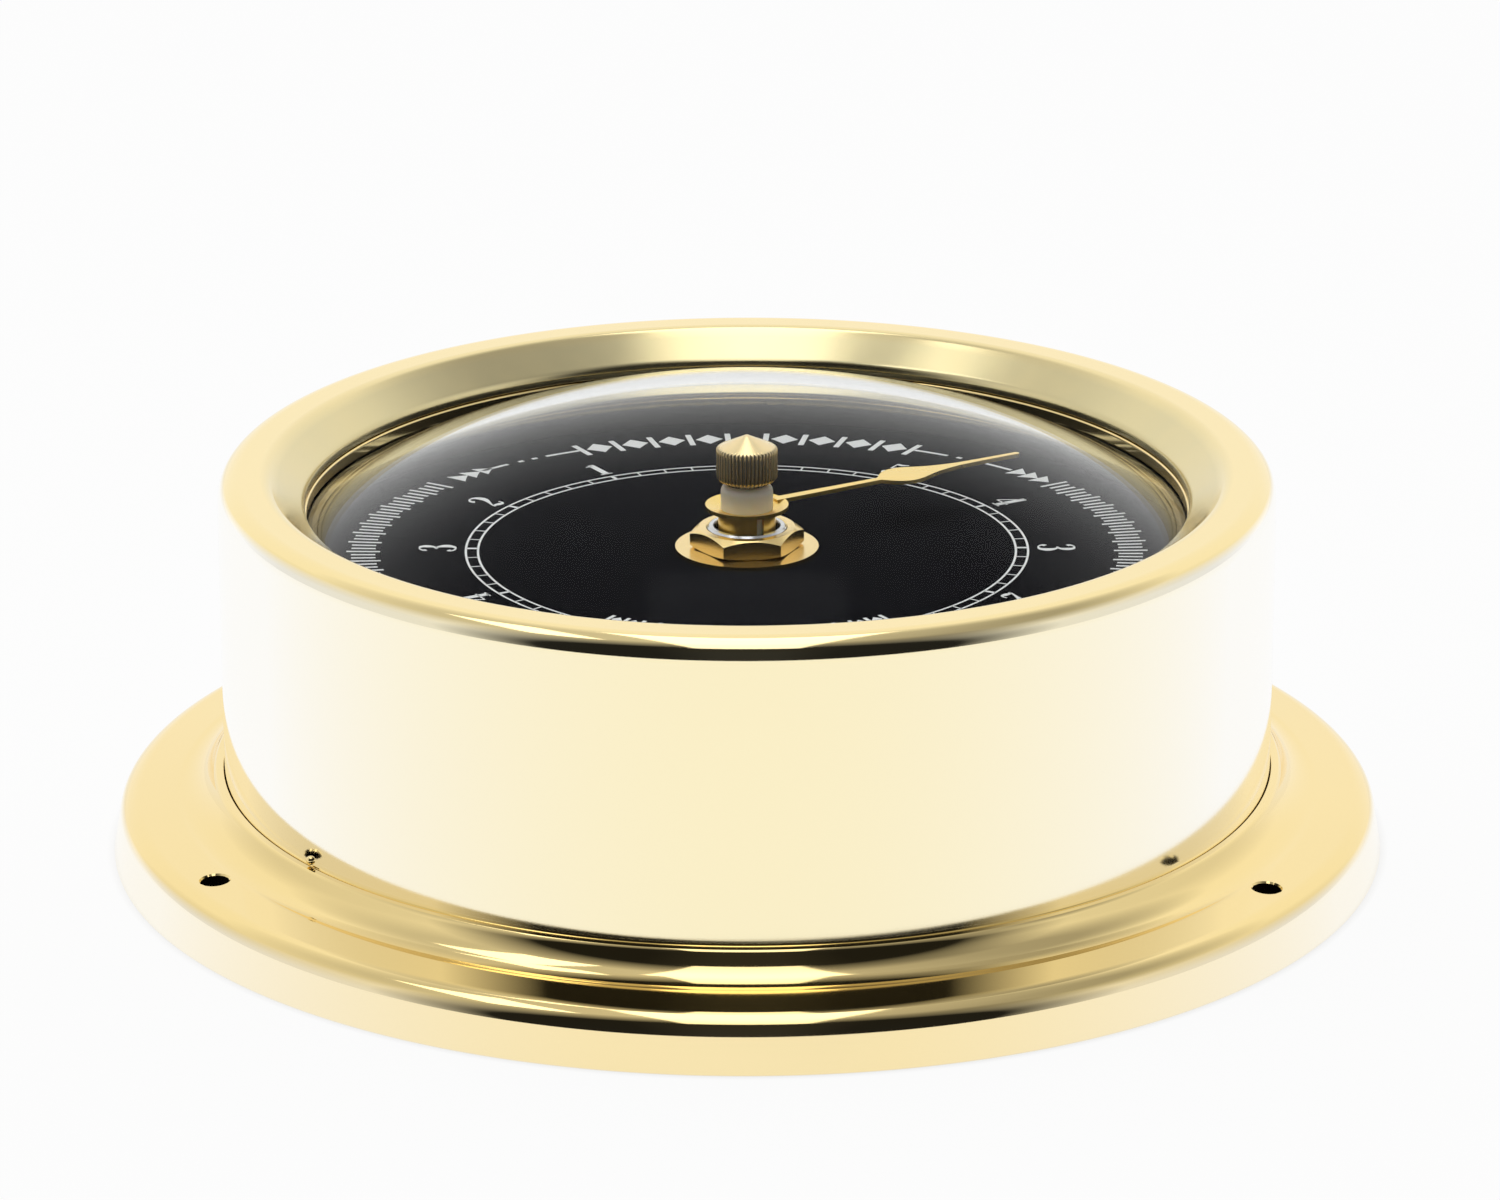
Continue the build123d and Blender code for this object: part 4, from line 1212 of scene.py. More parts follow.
    def crowned(self, points: Array) -> Array:
        """Raises the flat towards the neck, so that it falls outwards a little.

        The rise grows evenly from nothing at the flat's outer end to the crown at the sweep's foot,
        and dies out up the sweep. It is less below the flat, in the ratio of the heights.

        Args:
            points: the points, in millimetres.

        Returns:
            The moved points.
        """
        foot = self.neck_radius + self.neck_sweep_width * sin(radians(self.neck_sweep_turn))
        distance = np.hypot(points[:, 0], points[:, 1])
        lift = np.interp(distance, (self.neck_radius, foot, self.flat_end), (0, self.crown, 0))
        height = points[:, 2] + lift * np.clip(points[:, 2] / self.flange_top, 0, 1)
        return np.column_stack([points[:, :2], height])

    def build(self, shop: Workshop) -> None:
        """Adds the base, and marks the walls of its holes for painted shade, which paints them
        dark.

        Args:
            shop: gives the finishes.
        """
        piece = add_piece(
            "turned_flange_base",
            self.surface(),
            shop.finish("base_brass"),
            "base",
            ["flange_base"],
        )
        # Painted shade on the hole walls.
        marks = np.zeros(len(piece.data.polygons))
        marks[len(marks) - self.painted_shade_cell_count :] = 1.0
        set_shade(piece, "FACE", marks)


@dataclass
class Drum:
    """The push-fit drum: wall, rolled crest, cone and lip."""

    wall: float = 1.5
    crest_inner_radius: float = 63.5
    outer_rounding: float = 3.0
    inner_rounding: float = 2.0
    lip_radius: float = 58.5
    lip_corner: float = 47.9
    lip_bottom: float = 46.55
    lip_rounding: float = 1.5
    lip_foot_radius: float = 62.0
    soft_edge: float = 0.25
    segments: int = 384

    def outline(self) -> Array:
        """Draws the section.

        Returns:
            Its points (radius, height).
        """
        low, high = span("case_drum")
        radius, bottom, crest = high[0], low[2], high[2]
        bore, inner_crest = radius - self.wall, crest - self.wall
        corners = [
            (bore, bottom, self.soft_edge),
            (radius, bottom, self.soft_edge),
            (radius, crest, self.outer_rounding),
            (self.crest_inner_radius, crest, self.inner_rounding),
            (self.lip_radius, self.lip_corner, self.lip_rounding),
            (self.lip_radius, self.lip_bottom, self.soft_edge / 2),
            (self.lip_foot_radius, self.lip_bottom, self.soft_edge / 2),
            (self.crest_inner_radius + self.wall, inner_crest, self.soft_edge),
            (bore, inner_crest, self.wall / 2),
        ]
        return rounded_outline(corners, step=3.0)

    def build(self, shop: Workshop) -> None:
        """Adds the drum.

        Args:
            shop: gives the finishes.
        """
        add_piece(
            "spun_case_drum",
            lathe(self.outline(), self.segments),
            shop.finish("drum_brass"),
            "case_cover",
            ["case_drum"],
        )


@dataclass
class Glazing:
    """The glass, the polished ring above it and the black ring below it."""

    ring_radius: float = 58.3
    ring_bottom: float = 44.62
    ring_top: float = 46.4
    foot_radius: float = 60.5
    foot_top: float = 46.55
    foot_outer_radius: float = 62.0
    ring_edge: float = 0.25
    glass_apex: float = 59.7
    glass_outer_sphere: float = 120.13
    glass_thickness: float = 2.0
    glass_edge: float = 0.3
    rings: int = 60
    segments: int = 256

    def glass_outline(self) -> Array:
        """Draws the glass's section: two arcs about one centre and a straight edge.

        A point of an arc at radius r stands at the centre's height plus the root of the sphere's
        radius squared less r squared.

        Returns:
            Points from the outer apex round the edge to the inner apex.
        """
        edge = span("domed_glass")[1][0]
        centre = self.glass_apex - self.glass_outer_sphere
        inner = self.glass_outer_sphere - self.glass_thickness
        radius = np.linspace(0, edge - self.glass_edge, self.rings)
        above = np.column_stack([radius, centre + np.sqrt(self.glass_outer_sphere**2 - radius**2)])
        below = np.column_stack([radius, centre + np.sqrt(inner**2 - radius**2)])[::-1]
        bevel = np.array(
            [(edge, above[-1, 1] - self.glass_edge), (edge, below[0, 1] + self.glass_edge)]
        )
        return np.vstack([above, bevel, below])

    def ring_outline(self) -> Array:
        """Draws the polished ring's section.

        Returns:
            Its points (radius, height).
        """
        outer = span("glass_ring")[1][0]
        corners = [
            (self.ring_radius, self.ring_bottom, self.ring_edge),
            (outer, self.ring_bottom, self.ring_edge),
            (outer, self.ring_top, self.ring_edge),
            (self.foot_outer_radius, self.ring_top, 0.0),
            (self.foot_outer_radius, self.foot_top, 0.0),
            (self.foot_radius, self.foot_top, 0.0),
            (self.foot_radius, self.ring_top, 0.0),
            (self.ring_radius, self.ring_top, self.ring_edge),
        ]
        return rounded_outline(corners)

    def build(self, shop: Workshop) -> None:
        """Adds the glass and the ring.

        Args:
            shop: gives the finishes.
        """
        add_piece(
            "domed_clock_glass",
            lathe_to_axis(self.glass_outline(), self.segments),
            shop.finish("clear_glass"),
            "case_cover",
            ["domed_glass"],
        )
        add_piece(
            "polished_glass_ring",
            lathe(self.ring_outline(), self.segments),
            shop.finish("ring_brass"),
            "case_cover",
            ["glass_ring"],
        )


class Figure(Enum):
    """The plain numbers on the dial, each drawn as strokes of a broad pen.

    A stroke is a line of keys (x, y, half width), as shares of the figure's height.
    """

    ONE = (
        ((0.28, 0.0, 0.07), (0.28, 0.5, 0.07), (0.28, 0.98, 0.07)),
        ((0.30, 0.97, 0.03), (0.20, 0.88, 0.025), (0.08, 0.86, 0.015)),
        ((0.10, 0.015, 0.015), (0.28, 0.015, 0.02), (0.46, 0.015, 0.015)),
    )
    TWO = (
        (
            (0.13, 0.74, 0.05),
            (0.09, 0.81, 0.045),
            (0.15, 0.93, 0.025),
            (0.28, 0.985, 0.02),
            (0.42, 0.93, 0.045),
            (0.47, 0.76, 0.075),
            (0.42, 0.56, 0.06),
            (0.26, 0.34, 0.03),
            (0.12, 0.16, 0.018),
            (0.07, 0.04, 0.014),
        ),
        (
            (0.07, 0.05, 0.02),
            (0.16, 0.10, 0.04),
            (0.28, 0.06, 0.06),
            (0.40, 0.03, 0.045),
            (0.48, 0.08, 0.02),
            (0.50, 0.20, 0.012),
        ),
    )
    THREE = (
        (
            (0.13, 0.80, 0.05),
            (0.10, 0.86, 0.04),
            (0.17, 0.95, 0.02),
            (0.28, 0.985, 0.018),
            (0.40, 0.93, 0.05),
            (0.44, 0.78, 0.07),
            (0.38, 0.60, 0.04),
            (0.24, 0.53, 0.012),
        ),
        (
            (0.22, 0.53, 0.012),
            (0.38, 0.49, 0.035),
            (0.47, 0.28, 0.08),
            (0.40, 0.08, 0.05),
            (0.26, 0.015, 0.018),
            (0.13, 0.05, 0.02),
            (0.07, 0.14, 0.04),
            (0.12, 0.21, 0.05),
        ),
    )
    FOUR = (
        ((0.40, 0.98, 0.014), (0.21, 0.64, 0.014), (0.02, 0.30, 0.014)),
        ((0.02, 0.29, 0.014), (0.28, 0.29, 0.014), (0.54, 0.29, 0.014)),
        ((0.38, 0.0, 0.07), (0.38, 0.5, 0.07), (0.38, 0.97, 0.07)),
        ((0.22, 0.015, 0.014), (0.38, 0.015, 0.02), (0.54, 0.015, 0.014)),
    )
    FIVE = (
        ((0.12, 0.97, 0.014), (0.12, 0.75, 0.014), (0.12, 0.53, 0.014)),
        ((0.12, 0.94, 0.04), (0.28, 0.91, 0.045), (0.45, 0.99, 0.014)),
        (
            (0.12, 0.53, 0.012),
            (0.26, 0.61, 0.018),
            (0.40, 0.56, 0.05),
            (0.47, 0.33, 0.08),
            (0.40, 0.10, 0.05),
            (0.26, 0.015, 0.018),
            (0.13, 0.05, 0.02),
            (0.07, 0.15, 0.04),
            (0.12, 0.22, 0.05),
        ),
    )


@dataclass
class Dial:
    """What is printed on the dial: the ladder ring, the figures and the outer band."""

    print_height: float = 0.03
    ladder_inner: float = 35.55
    ladder_outer: float = 37.15
    line_width: float = 0.3
    rung_count: int = 60
    rung_width: float = 0.22
    heavy_rung_width: float = 0.5
    figure_radius: float = 40.9
    figure_height: float = 4.9
    figure_middle: float = 0.28
    pen_gain: float = 1.3
    pen_least: float = 0.11
    left_turns: tuple[float, ...] = (120.0, 150.0, 180.0, 210.0, 240.0)
    right_turns: tuple[float, ...] = (-60.0, -30.0, 0.0, 30.0, 60.0)
    band_radius: float = 50.6
    foot_radius: float = 33.4
    dash_width: float = 0.6
    dashes: tuple[tuple[float, float], ...] = ((30.5, 5.2), (35.6, 0.8), (38.2, 0.8), (43.4, 4.6))
    arrow_turns: tuple[float, ...] = (46.6, 49.3, 52.0)
    arrow_size: float = 2.3
    arrow_half_share: float = 0.75
    tick_start: float = 56.0
    tick_turn: float = 1.5
    tick_count: int = 42
    tick_length: float = 4.4
    tick_width: float = 0.48
    fine_tick_share: float = 0.72
    top_turn: float = 6.0
    top_half_count: int = 4
    top_lozenge: tuple[float, float] = (3.7, 4.6)
    top_bar: tuple[float, float] = (5.4, 0.8)
    foot_turn: int = 4
    foot_start: int = -122
    foot_count: int = 17
    foot_lozenge: tuple[float, float] = (1.5, 2.0)
    foot_bar: tuple[float, float] = (2.6, 0.5)
    thin: float = 0.03
    segments: int = 360
    stroke_samples: int = 48
    mark_samples: int = 9

    def heights(self) -> tuple[float, float]:
        """Gives the print's lower and upper heights on the dial."""
        top = span("dial_plate")[1][2]
        return top, top + self.print_height

    def circle(self, radius: float, width: float) -> Surface:
        """Draws a flat ring: the square section between two radii and two heights, turned.

        Args:
            radius: its middle radius.
            width: its width.

        Returns:
            The ring.
        """
        low, high = self.heights()
        inner, outer = radius - width / 2, radius + width / 2
        section = np.array([(inner, low), (outer, low), (outer, high), (inner, high)])
        return lathe(section, self.segments)

    def bar(self, turn: float, radius: float, length: float, width: float) -> Surface:
        """Draws a bar along a radius: a straight ribbon of even width.

        Args:
            turn: the azimuth of its middle.
            radius: the distance of its middle from the axis.
            length: its length.
            width: its width.

        Returns:
            The bar.
        """
        line = np.array([(0.0, -length / 2), (0.0, length / 2)])
        strip = thin_strip(ribbon(line, np.full(2, width / 2)), *self.heights())
        return placed(strip, turn, radius)

    def curved(self, turn: float, radius: float, along: Array, half_width: Array) -> Surface:
        """Draws a mark that follows a circle, as a ribbon.

        The line's points stand at the radius times cos and sin of the turn.

        Args:
            turn: the azimuth from which the mark is drawn.
            radius: the circle's radius.
            along: how far along the circle each point stands.
            half_width: the half width at each.

        Returns:
            The mark.
        """
        angle = radians(turn) + along / radius
        line = radius * np.column_stack([np.cos(angle), np.sin(angle)])
        return thin_strip(ribbon(line, half_width), *self.heights())

    def arc(self, turn: float, radius: float, length: float, width: float) -> Surface:
        """Draws a dash of even width along a circle, its middle at the turn.

        Args:
            turn: the azimuth of its middle.
            radius: the circle's radius.
            length: its length.
            width: its width.

        Returns:
            The dash.
        """
        share = np.linspace(-1, 1, self.mark_samples)
        return self.curved(turn, radius, length / 2 * share, np.full(len(share), width / 2))

    def lozenge(self, turn: float, radius: float, length: float, width: float) -> Surface:
        """Draws a lozenge along a circle: a dash whose width rises to its middle and falls.

        Args:
            turn: the azimuth of its middle.
            radius: the circle's radius.
            length: its length.
            width: its width at the middle.

        Returns:
            The lozenge.
        """
        share = np.linspace(-1, 1, self.mark_samples)
        swell = width / 2 * np.maximum(1 - np.abs(share), self.thin)
        return self.curved(turn, radius, length / 2 * share, swell)

    def arrow(self, turn: float, radius: float) -> Surface:
        """Draws a solid arrowhead along a circle, its point clockwise.

        Args:
            turn: the azimuth of its foot.
            radius: the circle's radius.

        Returns:
            The arrowhead.
        """
        share = np.linspace(0, 1, 3)
        taper = self.arrow_size * self.arrow_half_share * np.maximum(1 - share, self.thin)
        return self.curved(turn, radius, -self.arrow_size * share, taper)

    def figure(self, figure: Figure, turn: float) -> Surface:
        """Draws one figure.

        Args:
            figure: which one.
            turn: the azimuth at which it stands, top outwards.

        Returns:
            Its strokes, each a ribbon along a smooth line, with round ends where the pen is broad.
        """
        parts = []
        for stroke in figure.value:
            keys = smooth_line(np.array(stroke), self.stroke_samples)
            keys = keys * self.figure_height
            line = keys[:, :2] - self.figure_height * np.array((self.figure_middle, 0.5))
            pen = np.maximum(self.pen_gain * keys[:, 2], self.pen_least)
            strip = thin_strip(ribbon(line, pen), *self.heights())
            parts.append(placed(strip, turn, self.figure_radius))
        return all_joined(parts)

    def ladder(self) -> Surface:
        """Draws the ring of rungs between two circles.

        Returns:
            The ring.
        """
        parts = [
            self.circle(self.ladder_inner, self.line_width),
            self.circle(self.ladder_outer, self.line_width),
        ]
        middle = (self.ladder_inner + self.ladder_outer) / 2
        length = self.ladder_outer - self.ladder_inner
        for rung in range(self.rung_count):
            width = self.heavy_rung_width if rung % 5 == 0 else self.rung_width
            parts.append(self.bar(rung * 360 / self.rung_count, middle, length, width))
        return all_joined(parts)

    def figures(self) -> Surface:
        """Draws the figures, counting down each side from the top.

        Returns:
            The figures.
        """
        names = list(Figure)
        parts = [self.figure(figure, turn) for figure, turn in zip(names, self.left_turns)]
        parts += [self.figure(figure, turn) for figure, turn in zip(names, self.right_turns)]
        return all_joined(parts)

    def side_band(self, mirror: int) -> list[Surface]:
        """Draws one side's dashes, dots, arrowheads and fine scale.

        Args:
            mirror: 1 for the left side, -1 for the right.

        Returns:
            The marks.
        """
        radius = self.band_radius
        parts = [
            self.arc(90 + mirror * turn, radius, length, self.dash_width)
            for turn, length in self.dashes
        ]
        parts += [self.arrow(90 + mirror * turn, radius) for turn in self.arrow_turns]
        for step in range(self.tick_count):
            length = self.tick_length * (1 if step % 3 == 0 else self.fine_tick_share)
            turn = self.tick_start + self.tick_turn * step
            parts.append(self.bar(90 + mirror * turn, radius, length, self.tick_width))
        return parts

    def top_band(self) -> list[Surface]:
        """Draws the plain ornament at the top: tall lozenges with a bar between each two.

        Returns:
            The marks.
        """
        radius, count = self.band_radius, self.top_half_count
        turns = 90 + self.top_turn * np.arange(-count, count + 1)
        between = 90 + self.top_turn * (np.arange(-count - 1, count + 1) + 0.5)
        parts = [self.lozenge(turn, radius, *self.top_lozenge) for turn in turns]
        parts += [self.bar(turn, radius, *self.top_bar) for turn in between]
        return parts

    def foot_band(self) -> list[Surface]:
        """Draws the plain ornament inside the ladder at the bottom: small bars and lozenges.

        Returns:
            The marks.
        """
        turns = self.foot_start + self.foot_turn * np.arange(self.foot_count)
        between = turns[:-1] + self.foot_turn / 2
        parts = [self.bar(turn, self.foot_radius, *self.foot_bar) for turn in turns]
        parts += [self.lozenge(turn, self.foot_radius, *self.foot_lozenge) for turn in between]
        return parts

    def build(self, shop: Workshop) -> None:
        """Adds the print.

        Args:
            shop: gives the finishes.
        """
        paint = shop.finish("dial_print")
        band = all_joined(
            self.side_band(1) + self.side_band(-1) + self.top_band() + self.foot_band()
        )
        for name, surface in (
            ("printed_ladder_ring", self.ladder()),
            ("printed_figures", self.figures()),
            ("printed_outer_band", band),
        ):
            add_piece(name, surface, paint, "base")


@dataclass
class Bush:
    """The threaded bush, with its thread cut as one helix."""

    pitch: float = 0.9
    depth: float = 0.32
    barrel_radius: float = 5.25
    flange_radius: float = 6.5
    flange: float = 0.8
    bore_radius: float = 3.5
    mouth_radius: float = 4.35
    mouth_depth: float = 2.0
    mouth_edge: float = 0.25
    segments: int = 96
    rows_per_turn: int = 12
    crest_power: float = 1.4
    fade_rows: int = 6

    def surface(self) -> Surface:
        """Draws the bush: a turned section whose threaded wall rises and falls as a helix.

        On the thread the radius is the barrel's less the depth times a rounded wave of
        (height / pitch - turn), to the crest's power, which fades out at both ends.

        Returns:
            The closed surface.
        """
        low, high = span("threaded_bush")
        top, bottom, barrel = high[2], low[2], self.barrel_radius
        thread_low, thread_high = bottom + self.flange, top - self.mouth_edge
        rows = int((thread_high - thread_low) / self.pitch * self.rows_per_turn)
        heights = np.linspace(thread_low, thread_high, rows)
        thread = np.column_stack([np.full(rows, barrel), heights])
        outline = np.vstack(
            [
                [(self.bore_radius, bottom), (self.flange_radius, bottom)],
                [(self.flange_radius, bottom + self.flange)],
                thread,
                [(barrel - self.mouth_edge, top), (self.mouth_radius + self.mouth_edge / 2, top)],
                [(self.mouth_radius, top - self.mouth_edge)],
                [(self.mouth_radius, top - self.mouth_depth)],
                [(self.bore_radius, top - self.mouth_depth)],
            ]
        )
        whole = lathe(outline, self.segments)
        grid = whole.points.reshape(self.segments, len(outline), 3)
        wall = grid[:, 3 : 3 + rows]
        turn = np.arctan2(wall[..., 1], wall[..., 0]) / FULL_TURN
        phase = (wall[..., 2] - thread_low) / self.pitch - turn
        wave = (1 - np.cos(FULL_TURN * phase)) / 2
        share = np.linspace(0, 1, rows)
        fade = np.clip(np.minimum(share, 1 - share) * rows / self.fade_rows, 0, 1)
        radius = barrel - self.depth * wave**self.crest_power * fade
        wall[..., :2] *= (radius / barrel)[..., None]
        return Surface(grid.reshape(-1, 3), whole.faces)

    def build(self, shop: Workshop) -> None:
        """Adds the bush.

        Args:
            shop: gives the finishes.
        """
        add_piece(
            "helical_threaded_bush",
            self.surface(),
            shop.finish("steel_bright"),
            "base",
            ["threaded_bush"],
        )


@dataclass
class Nut:
    """The hexagon nut, its corners turned off above and below."""

    apothem: float = 6.58
    bore_radius: float = 5.3
    turn: float = 36.0
    flat_share: float = 0.97
    slope: float = 0.62
    foot_slope: float = 0.3
    edge: float = 0.12
    slope_rows: int = 7
    segments: int = 240

    def surface(self) -> Surface:
        """Draws the nut as a lathe whose outer radius follows a hexagon.

        At a turn a from the middle of a side, the side stands at the apothem over cos a. The top
        falls outside the flat's radius by the slope times the distance, and the bottom rises there.

        Returns:
            The closed surface.
        """
        low, high = span("hub_nut")
        bottom, top = low[2], high[2]
        turn = np.arange(self.segments) * FULL_TURN / self.segments
        side = (turn + pi / 6) % (pi / 3) - pi / 6
        outer = self.apothem / np.cos(side)
        flat = self.apothem * self.flat_share
        share = np.linspace(0, 1, self.slope_rows)[:, None]
        slope_radius = flat + (outer - flat) * share
        fall = self.slope * (slope_radius - flat)
        rise = self.foot_slope * (slope_radius - flat)
        bore = np.full(len(turn), self.bore_radius)
        mouth = bore + self.edge
        radius = np.vstack([mouth, slope_radius, slope_radius[::-1], mouth, bore, bore])
        level = np.ones(len(turn))
        height = np.vstack(
            [
                top * level,
                top - fall,
                (bottom + rise)[::-1],
                bottom * level,
                (bottom + self.edge) * level,
                (top - self.edge) * level,
            ]
        )
        angle = turn + radians(self.turn)
        points = np.stack([radius * np.cos(angle), radius * np.sin(angle), height], axis=-1)
        grid = points.transpose(1, 0, 2)
        faces = ring_faces(self.segments, grid.shape[1], True, True)
        return Surface(grid.reshape(-1, 3), [faces])

    def build(self, shop: Workshop) -> None:
        """Adds the nut.

        Args:
            shop: gives the finishes.
        """
        add_piece(
            "chamfered_hub_nut",
            self.surface(),
            shop.finish("hub_brass"),
            "base",
            ["hub_nut"],
            sharp=20.0,
        )


@dataclass
class Knob:
    """The setting knob: a fluted barrel under a low cone."""

    flutes: int = 46
    flute_depth: float = 0.4
    # How deep the painted shade in the flutes' floors goes, 0 to 1.
    flute_shade: float = 0.9
    shoulder: float = 0.35
    barrel_height: float = 4.1
    cone_rise: float = 1.75
    tip_rounding: float = 0.5
    collar_radius: float = 2.88
    cone_rows: int = 14
    barrel_rows: int = 10
    samples: int = 16
    reach: float = 0.01

    def barrel(self) -> tuple[float, float]:
        """Gives the heights at which the barrel starts and ends."""
        top = span("setting_knob")[1][2] - self.cone_rise
        return top - self.barrel_height, top

    def surface(self) -> Surface:
        """Draws the knob as a lathe cut back to a fluted outline.

        No point stands further out than the barrel's radius less the depth times 1 - |cos h|, where
        h is half the flutes' phase, so the flutes end in scallops on the cone.

        Returns:
            The closed surface.
        """
        low, high = span("setting_knob")
        radius, foot, tip = high[0], low[2], high[2]
        bottom, barrel_top = self.barrel()
        cone = np.linspace(radius - self.shoulder, self.tip_rounding, self.cone_rows)
        peak = barrel_top + self.cone_rise * (1 - cone / radius)
        lowest, highest = bottom + self.shoulder, barrel_top - self.shoulder / 2
        rows = np.linspace(lowest, highest, self.barrel_rows)
        outline = np.vstack(
            [
                [(0.0, foot), (self.collar_radius, foot), (self.collar_radius, bottom)],
                [(radius - self.shoulder, bottom)],
                np.column_stack([np.full(len(rows), radius), rows]),
                [(radius - self.shoulder / 3, barrel_top)],
                np.column_stack([cone, peak]),
                [(0.0, tip)],
            ]
        )
        segments = self.flutes * self.samples
        whole = lathe_to_axis(outline, segments)
        count = len(outline) - 2
        grid = whole.points[: segments * count].reshape(segments, count, 3)
        turn = np.arange(segments) / segments * pi * self.flutes
        wave = 1 - np.abs(np.cos(turn))
        cut = (radius - self.flute_depth * wave)[:, None]
        grid[..., :2] *= np.minimum(1, cut / np.hypot(grid[..., 0], grid[..., 1]))[..., None]
        points = np.vstack([grid.reshape(-1, 3), whole.points[segments * count :]])
        return Surface(points, whole.faces)

    def shade(self, points: Array) -> Array:
        """Says how dark each point is painted: painted shade darkens the barrel's flutes towards
        their floors.

        Args:
            points: the surface's points, in millimetres.

        Returns:
            The shade of each, 0 to 1.
        """
        bottom, barrel_top = self.barrel()
        inset = span("setting_knob")[1][0] - np.hypot(points[:, 0], points[:, 1])
        height = points[:, 2]
        barrel = (height > bottom + self.shoulder / 2) & (height < barrel_top + self.reach)
        return self.flute_shade * barrel * np.clip(inset / self.flute_depth, 0, 1)

    def build(self, shop: Workshop) -> None:
        """Adds the knob.

        Args:
            shop: gives the finishes.
        """
        surface = self.surface()
        piece = add_piece(
            "fluted_setting_knob",
            surface,
            shop.finish("brass_knob"),
            "setting_arbor",
            ["setting_knob"],
            sharp=50.0,
        )
        # Painted shade in the flutes.
        set_shade(piece, "POINT", self.shade(surface.points))


@dataclass(frozen=True)
class Lamp:
    """A flat soft lamp that shines straight down, its place and size in metres."""

    name: str
    x: float
    y: float
    width: float
    depth: float


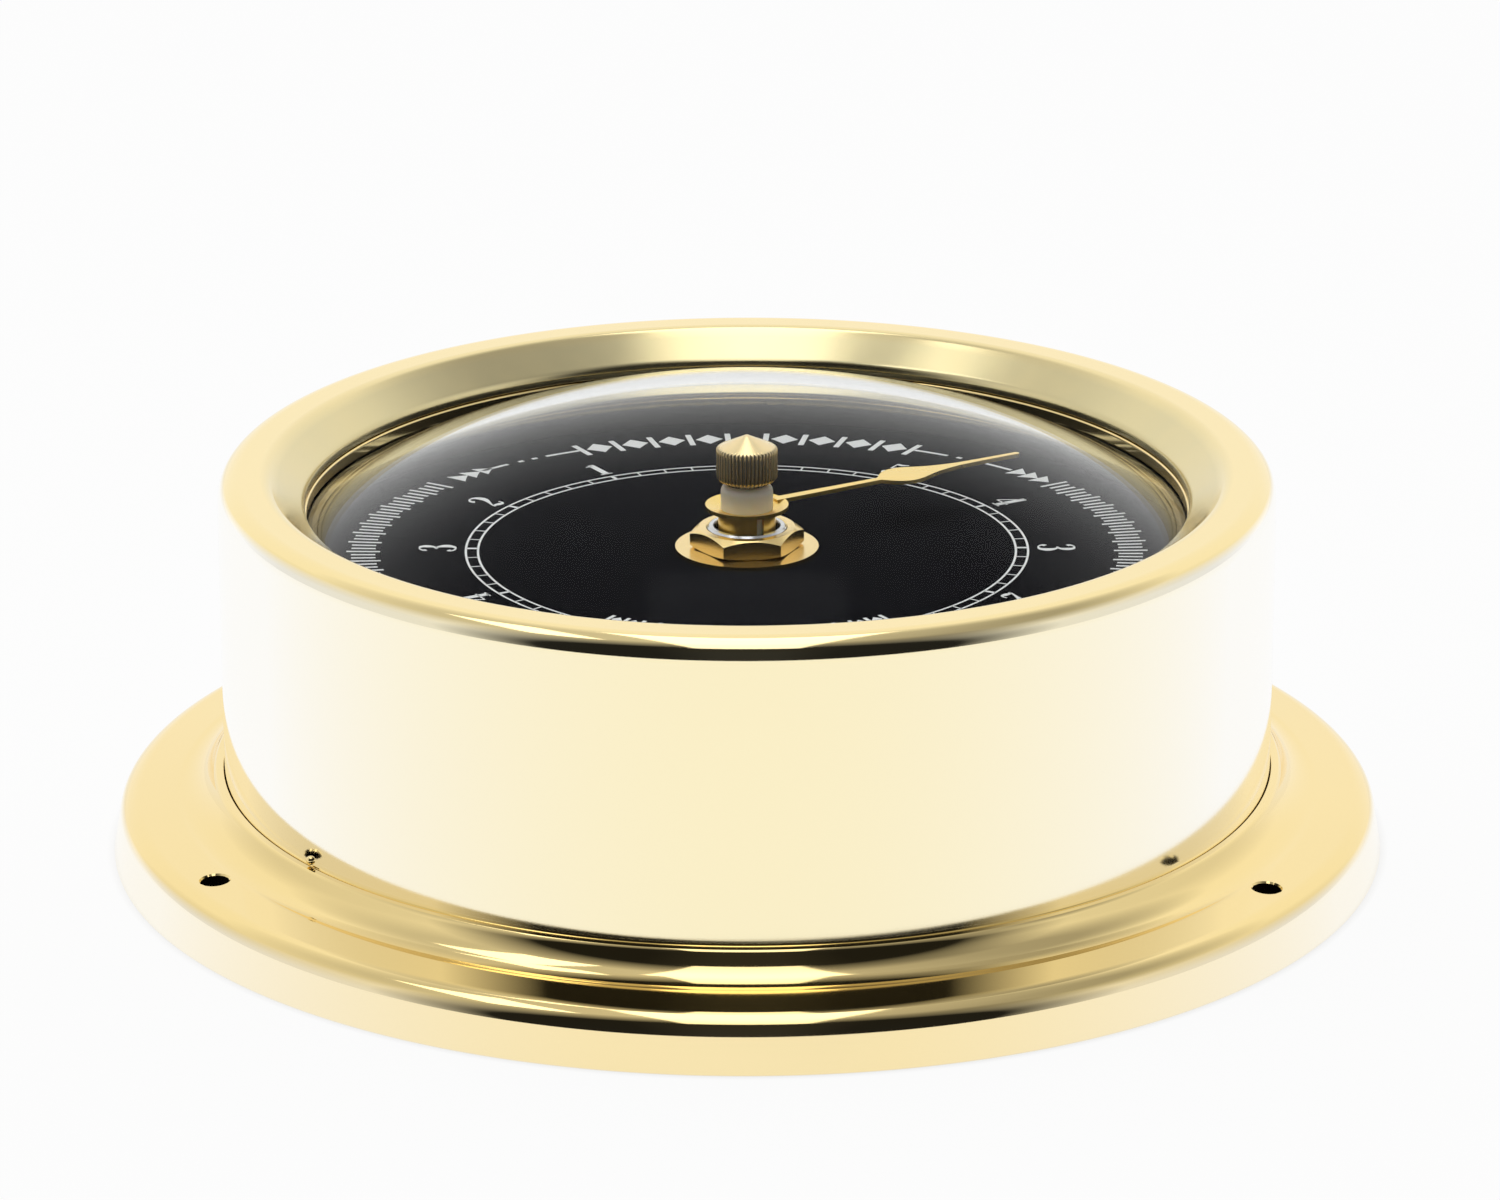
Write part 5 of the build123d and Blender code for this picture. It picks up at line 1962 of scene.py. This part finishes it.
@dataclass
class Studio:
    """The pale table, the soft light and the camera at the photograph's angle.

    The light is white cloth all round, a dimmer roof and a dim room behind the camera. Where two of
    them meet, one fades into the other over a range of one part of the direction.
    """

    camera_place: Corner = (0.394, -903.97, 346.83)
    camera_pitch: float = 19.152
    camera_roll: float = -0.0888
    focal_pixels: float = 7182.1
    picture_width: int = 1500
    sensor: float = 36.0
    table_size: float = 9.0
    table_colour: Colour = (0.94, 0.94, 0.94)
    glow_radii: tuple[float, float] = (80.0, 86.0)
    glow: float = 0.93
    clip: tuple[float, float] = (0.01, 50.0)
    wall_light: tuple[float, float] = (1.03, 0.82)
    wall_edge: tuple[float, float] = (0.62, 0.9)
    roof_light: tuple[float, float] = (0.66, 0.42)
    roof_side: tuple[float, float] = (-0.1, 0.45)
    roof_edge: tuple[float, float] = (0.80, 1.0)
    roof_lean: float = 0.35
    room_light: tuple[float, float] = (0.03, 0.015)
    room_side: tuple[float, float] = (0.1, 0.3)
    room_edge: tuple[float, float] = (-0.75, -0.40)
    room_lean: float = 0.3
    lamps: tuple[Lamp, ...] = (
        Lamp("long_lamp", x=0.0, y=-0.1, width=0.42, depth=1.4),
        Lamp("left_lamp", x=-0.56, y=0.0, width=0.30, depth=0.60),
    )
    lamp_height: float = 1.2
    lamp_light: float = 1.45

    def camera(self) -> None:
        """Places the camera: its forward, right and up directions from its pitch and roll."""
        pitch, roll = radians(self.camera_pitch), radians(self.camera_roll)
        forward = Vector((0, cos(pitch), -sin(pitch)))
        level, above = Vector((1, 0, 0)), Vector((0, sin(pitch), cos(pitch)))
        right = level * cos(roll) + above * sin(roll)
        up = above * cos(roll) - level * sin(roll)
        axes = Matrix((right, up, -forward)).transposed().to_4x4()
        data = bpy.data.cameras.new("photo_camera")
        data.sensor_fit = "HORIZONTAL"
        data.sensor_width = self.sensor
        data.lens = self.focal_pixels * self.sensor / self.picture_width
        data.clip_start, data.clip_end = self.clip
        camera = add_object("photo_camera", data)
        camera.matrix_world = Matrix.Translation(Vector(self.camera_place) * MM) @ axes
        bpy.context.scene.camera = camera

    def table(self) -> None:
        """Adds the table, white to the camera and in reflections, but matt under the clock.

        A little of its matt colour shows everywhere, and keeps the clock's soft shadow.
        """
        half = self.table_size / 2
        mesh = bpy.data.meshes.new("pale_table")
        corners = [(-half, -half, 0), (half, -half, 0), (half, half, 0), (-half, half, 0)]
        mesh.from_pydata(corners, [], [(0, 1, 2, 3)])
        material = bpy.data.materials.new("pale_table")
        graph = blank(material)
        matt = graph.add("BsdfDiffuse", {"Color": (*self.table_colour, 1)})
        glow = graph.add("Emission", {"Color": (1, 1, 1, 1), "Strength": 1.0})
        path = graph.add("LightPath").outputs
        seen = graph.math("MAXIMUM", path["Is Camera Ray"], path["Is Glossy Ray"])
        seen = graph.math("MAXIMUM", seen, path["Is Transmission Ray"])
        radii = tuple(radius * MM for radius in self.glow_radii)
        outside = graph.remap(graph.axes()[3], radii, (0.0, self.glow))
        share = graph.math("MULTIPLY", seen, outside)
        mixed = graph.add("MixShader", {0: share, 1: matt.outputs[0], 2: glow.outputs[0]})
        graph.show(mixed.outputs[0])
        mesh.materials.append(material)
        add_object("pale_table", mesh)

    def sky(self) -> None:
        """Lights the room: pale walls, a roof that is darkest to the right, and the dim room."""
        world = bpy.data.worlds.new("soft_room")
        graph = blank(world)
        bpy.context.scene.world = world
        direction = graph.add("TexCoord").outputs["Generated"]
        x, y, z = graph.add("SeparateXYZ", {0: direction}).outputs
        aside = graph.math("ABSOLUTE", x, None)
        steep = graph.math("ADD", z, graph.math("MULTIPLY", aside, self.roof_lean))
        share = graph.remap(steep, self.roof_edge, (0.0, 1.0))
        walls = graph.remap(aside, self.wall_edge, self.wall_light)
        cloth = graph.mix(share, walls, graph.remap(x, self.roof_side, self.roof_light))
        room = graph.remap(aside, self.room_side, self.room_light)
        towards = graph.math("SUBTRACT", y, graph.math("MULTIPLY", z, self.room_lean))
        gap = graph.remap(towards, self.room_edge, (1.0, 0.0))
        light = graph.mix(gap, cloth, room)
        background = graph.add("Background", {"Strength": light, "Color": (1, 1, 1, 1)})
        graph.show(background.outputs[0], "OutputWorld")

    def hang(self, lamp: Lamp) -> None:
        """Hangs a lamp over the clock.

        It looks as bright as its power over pi times its area, where white cloth is 1.

        Args:
            lamp: the lamp.
        """
        data = bpy.data.lights.new(lamp.name, "AREA")
        data.shape = "RECTANGLE"
        data.size, data.size_y = lamp.width, lamp.depth
        data.energy = pi * lamp.width * lamp.depth * self.lamp_light
        place = Matrix.Translation((lamp.x, lamp.y, self.lamp_height))
        add_object(lamp.name, data).matrix_world = place

    def build(self) -> None:
        """Sets up the view and the light."""
        bpy.context.scene.view_settings.view_transform = "Standard"
        self.camera()
        self.table()
        self.sky()
        for lamp in self.lamps:
            self.hang(lamp)


def main() -> None:
    """Builds the clock around the frame, and the studio around the clock."""
    logging.basicConfig(level=logging.INFO, format="%(name)s %(message)s")
    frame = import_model()
    shop = Workshop(frame)
    shop.dress_nodes()
    for assembly in (Base(), Drum(), Glazing(), Dial(), Bush(), Nut(), Knob()):
        assembly.build(shop)
        LOG.info("%s is built", type(assembly).__name__)
    Studio().build()


if __name__ == "__main__":
    main()
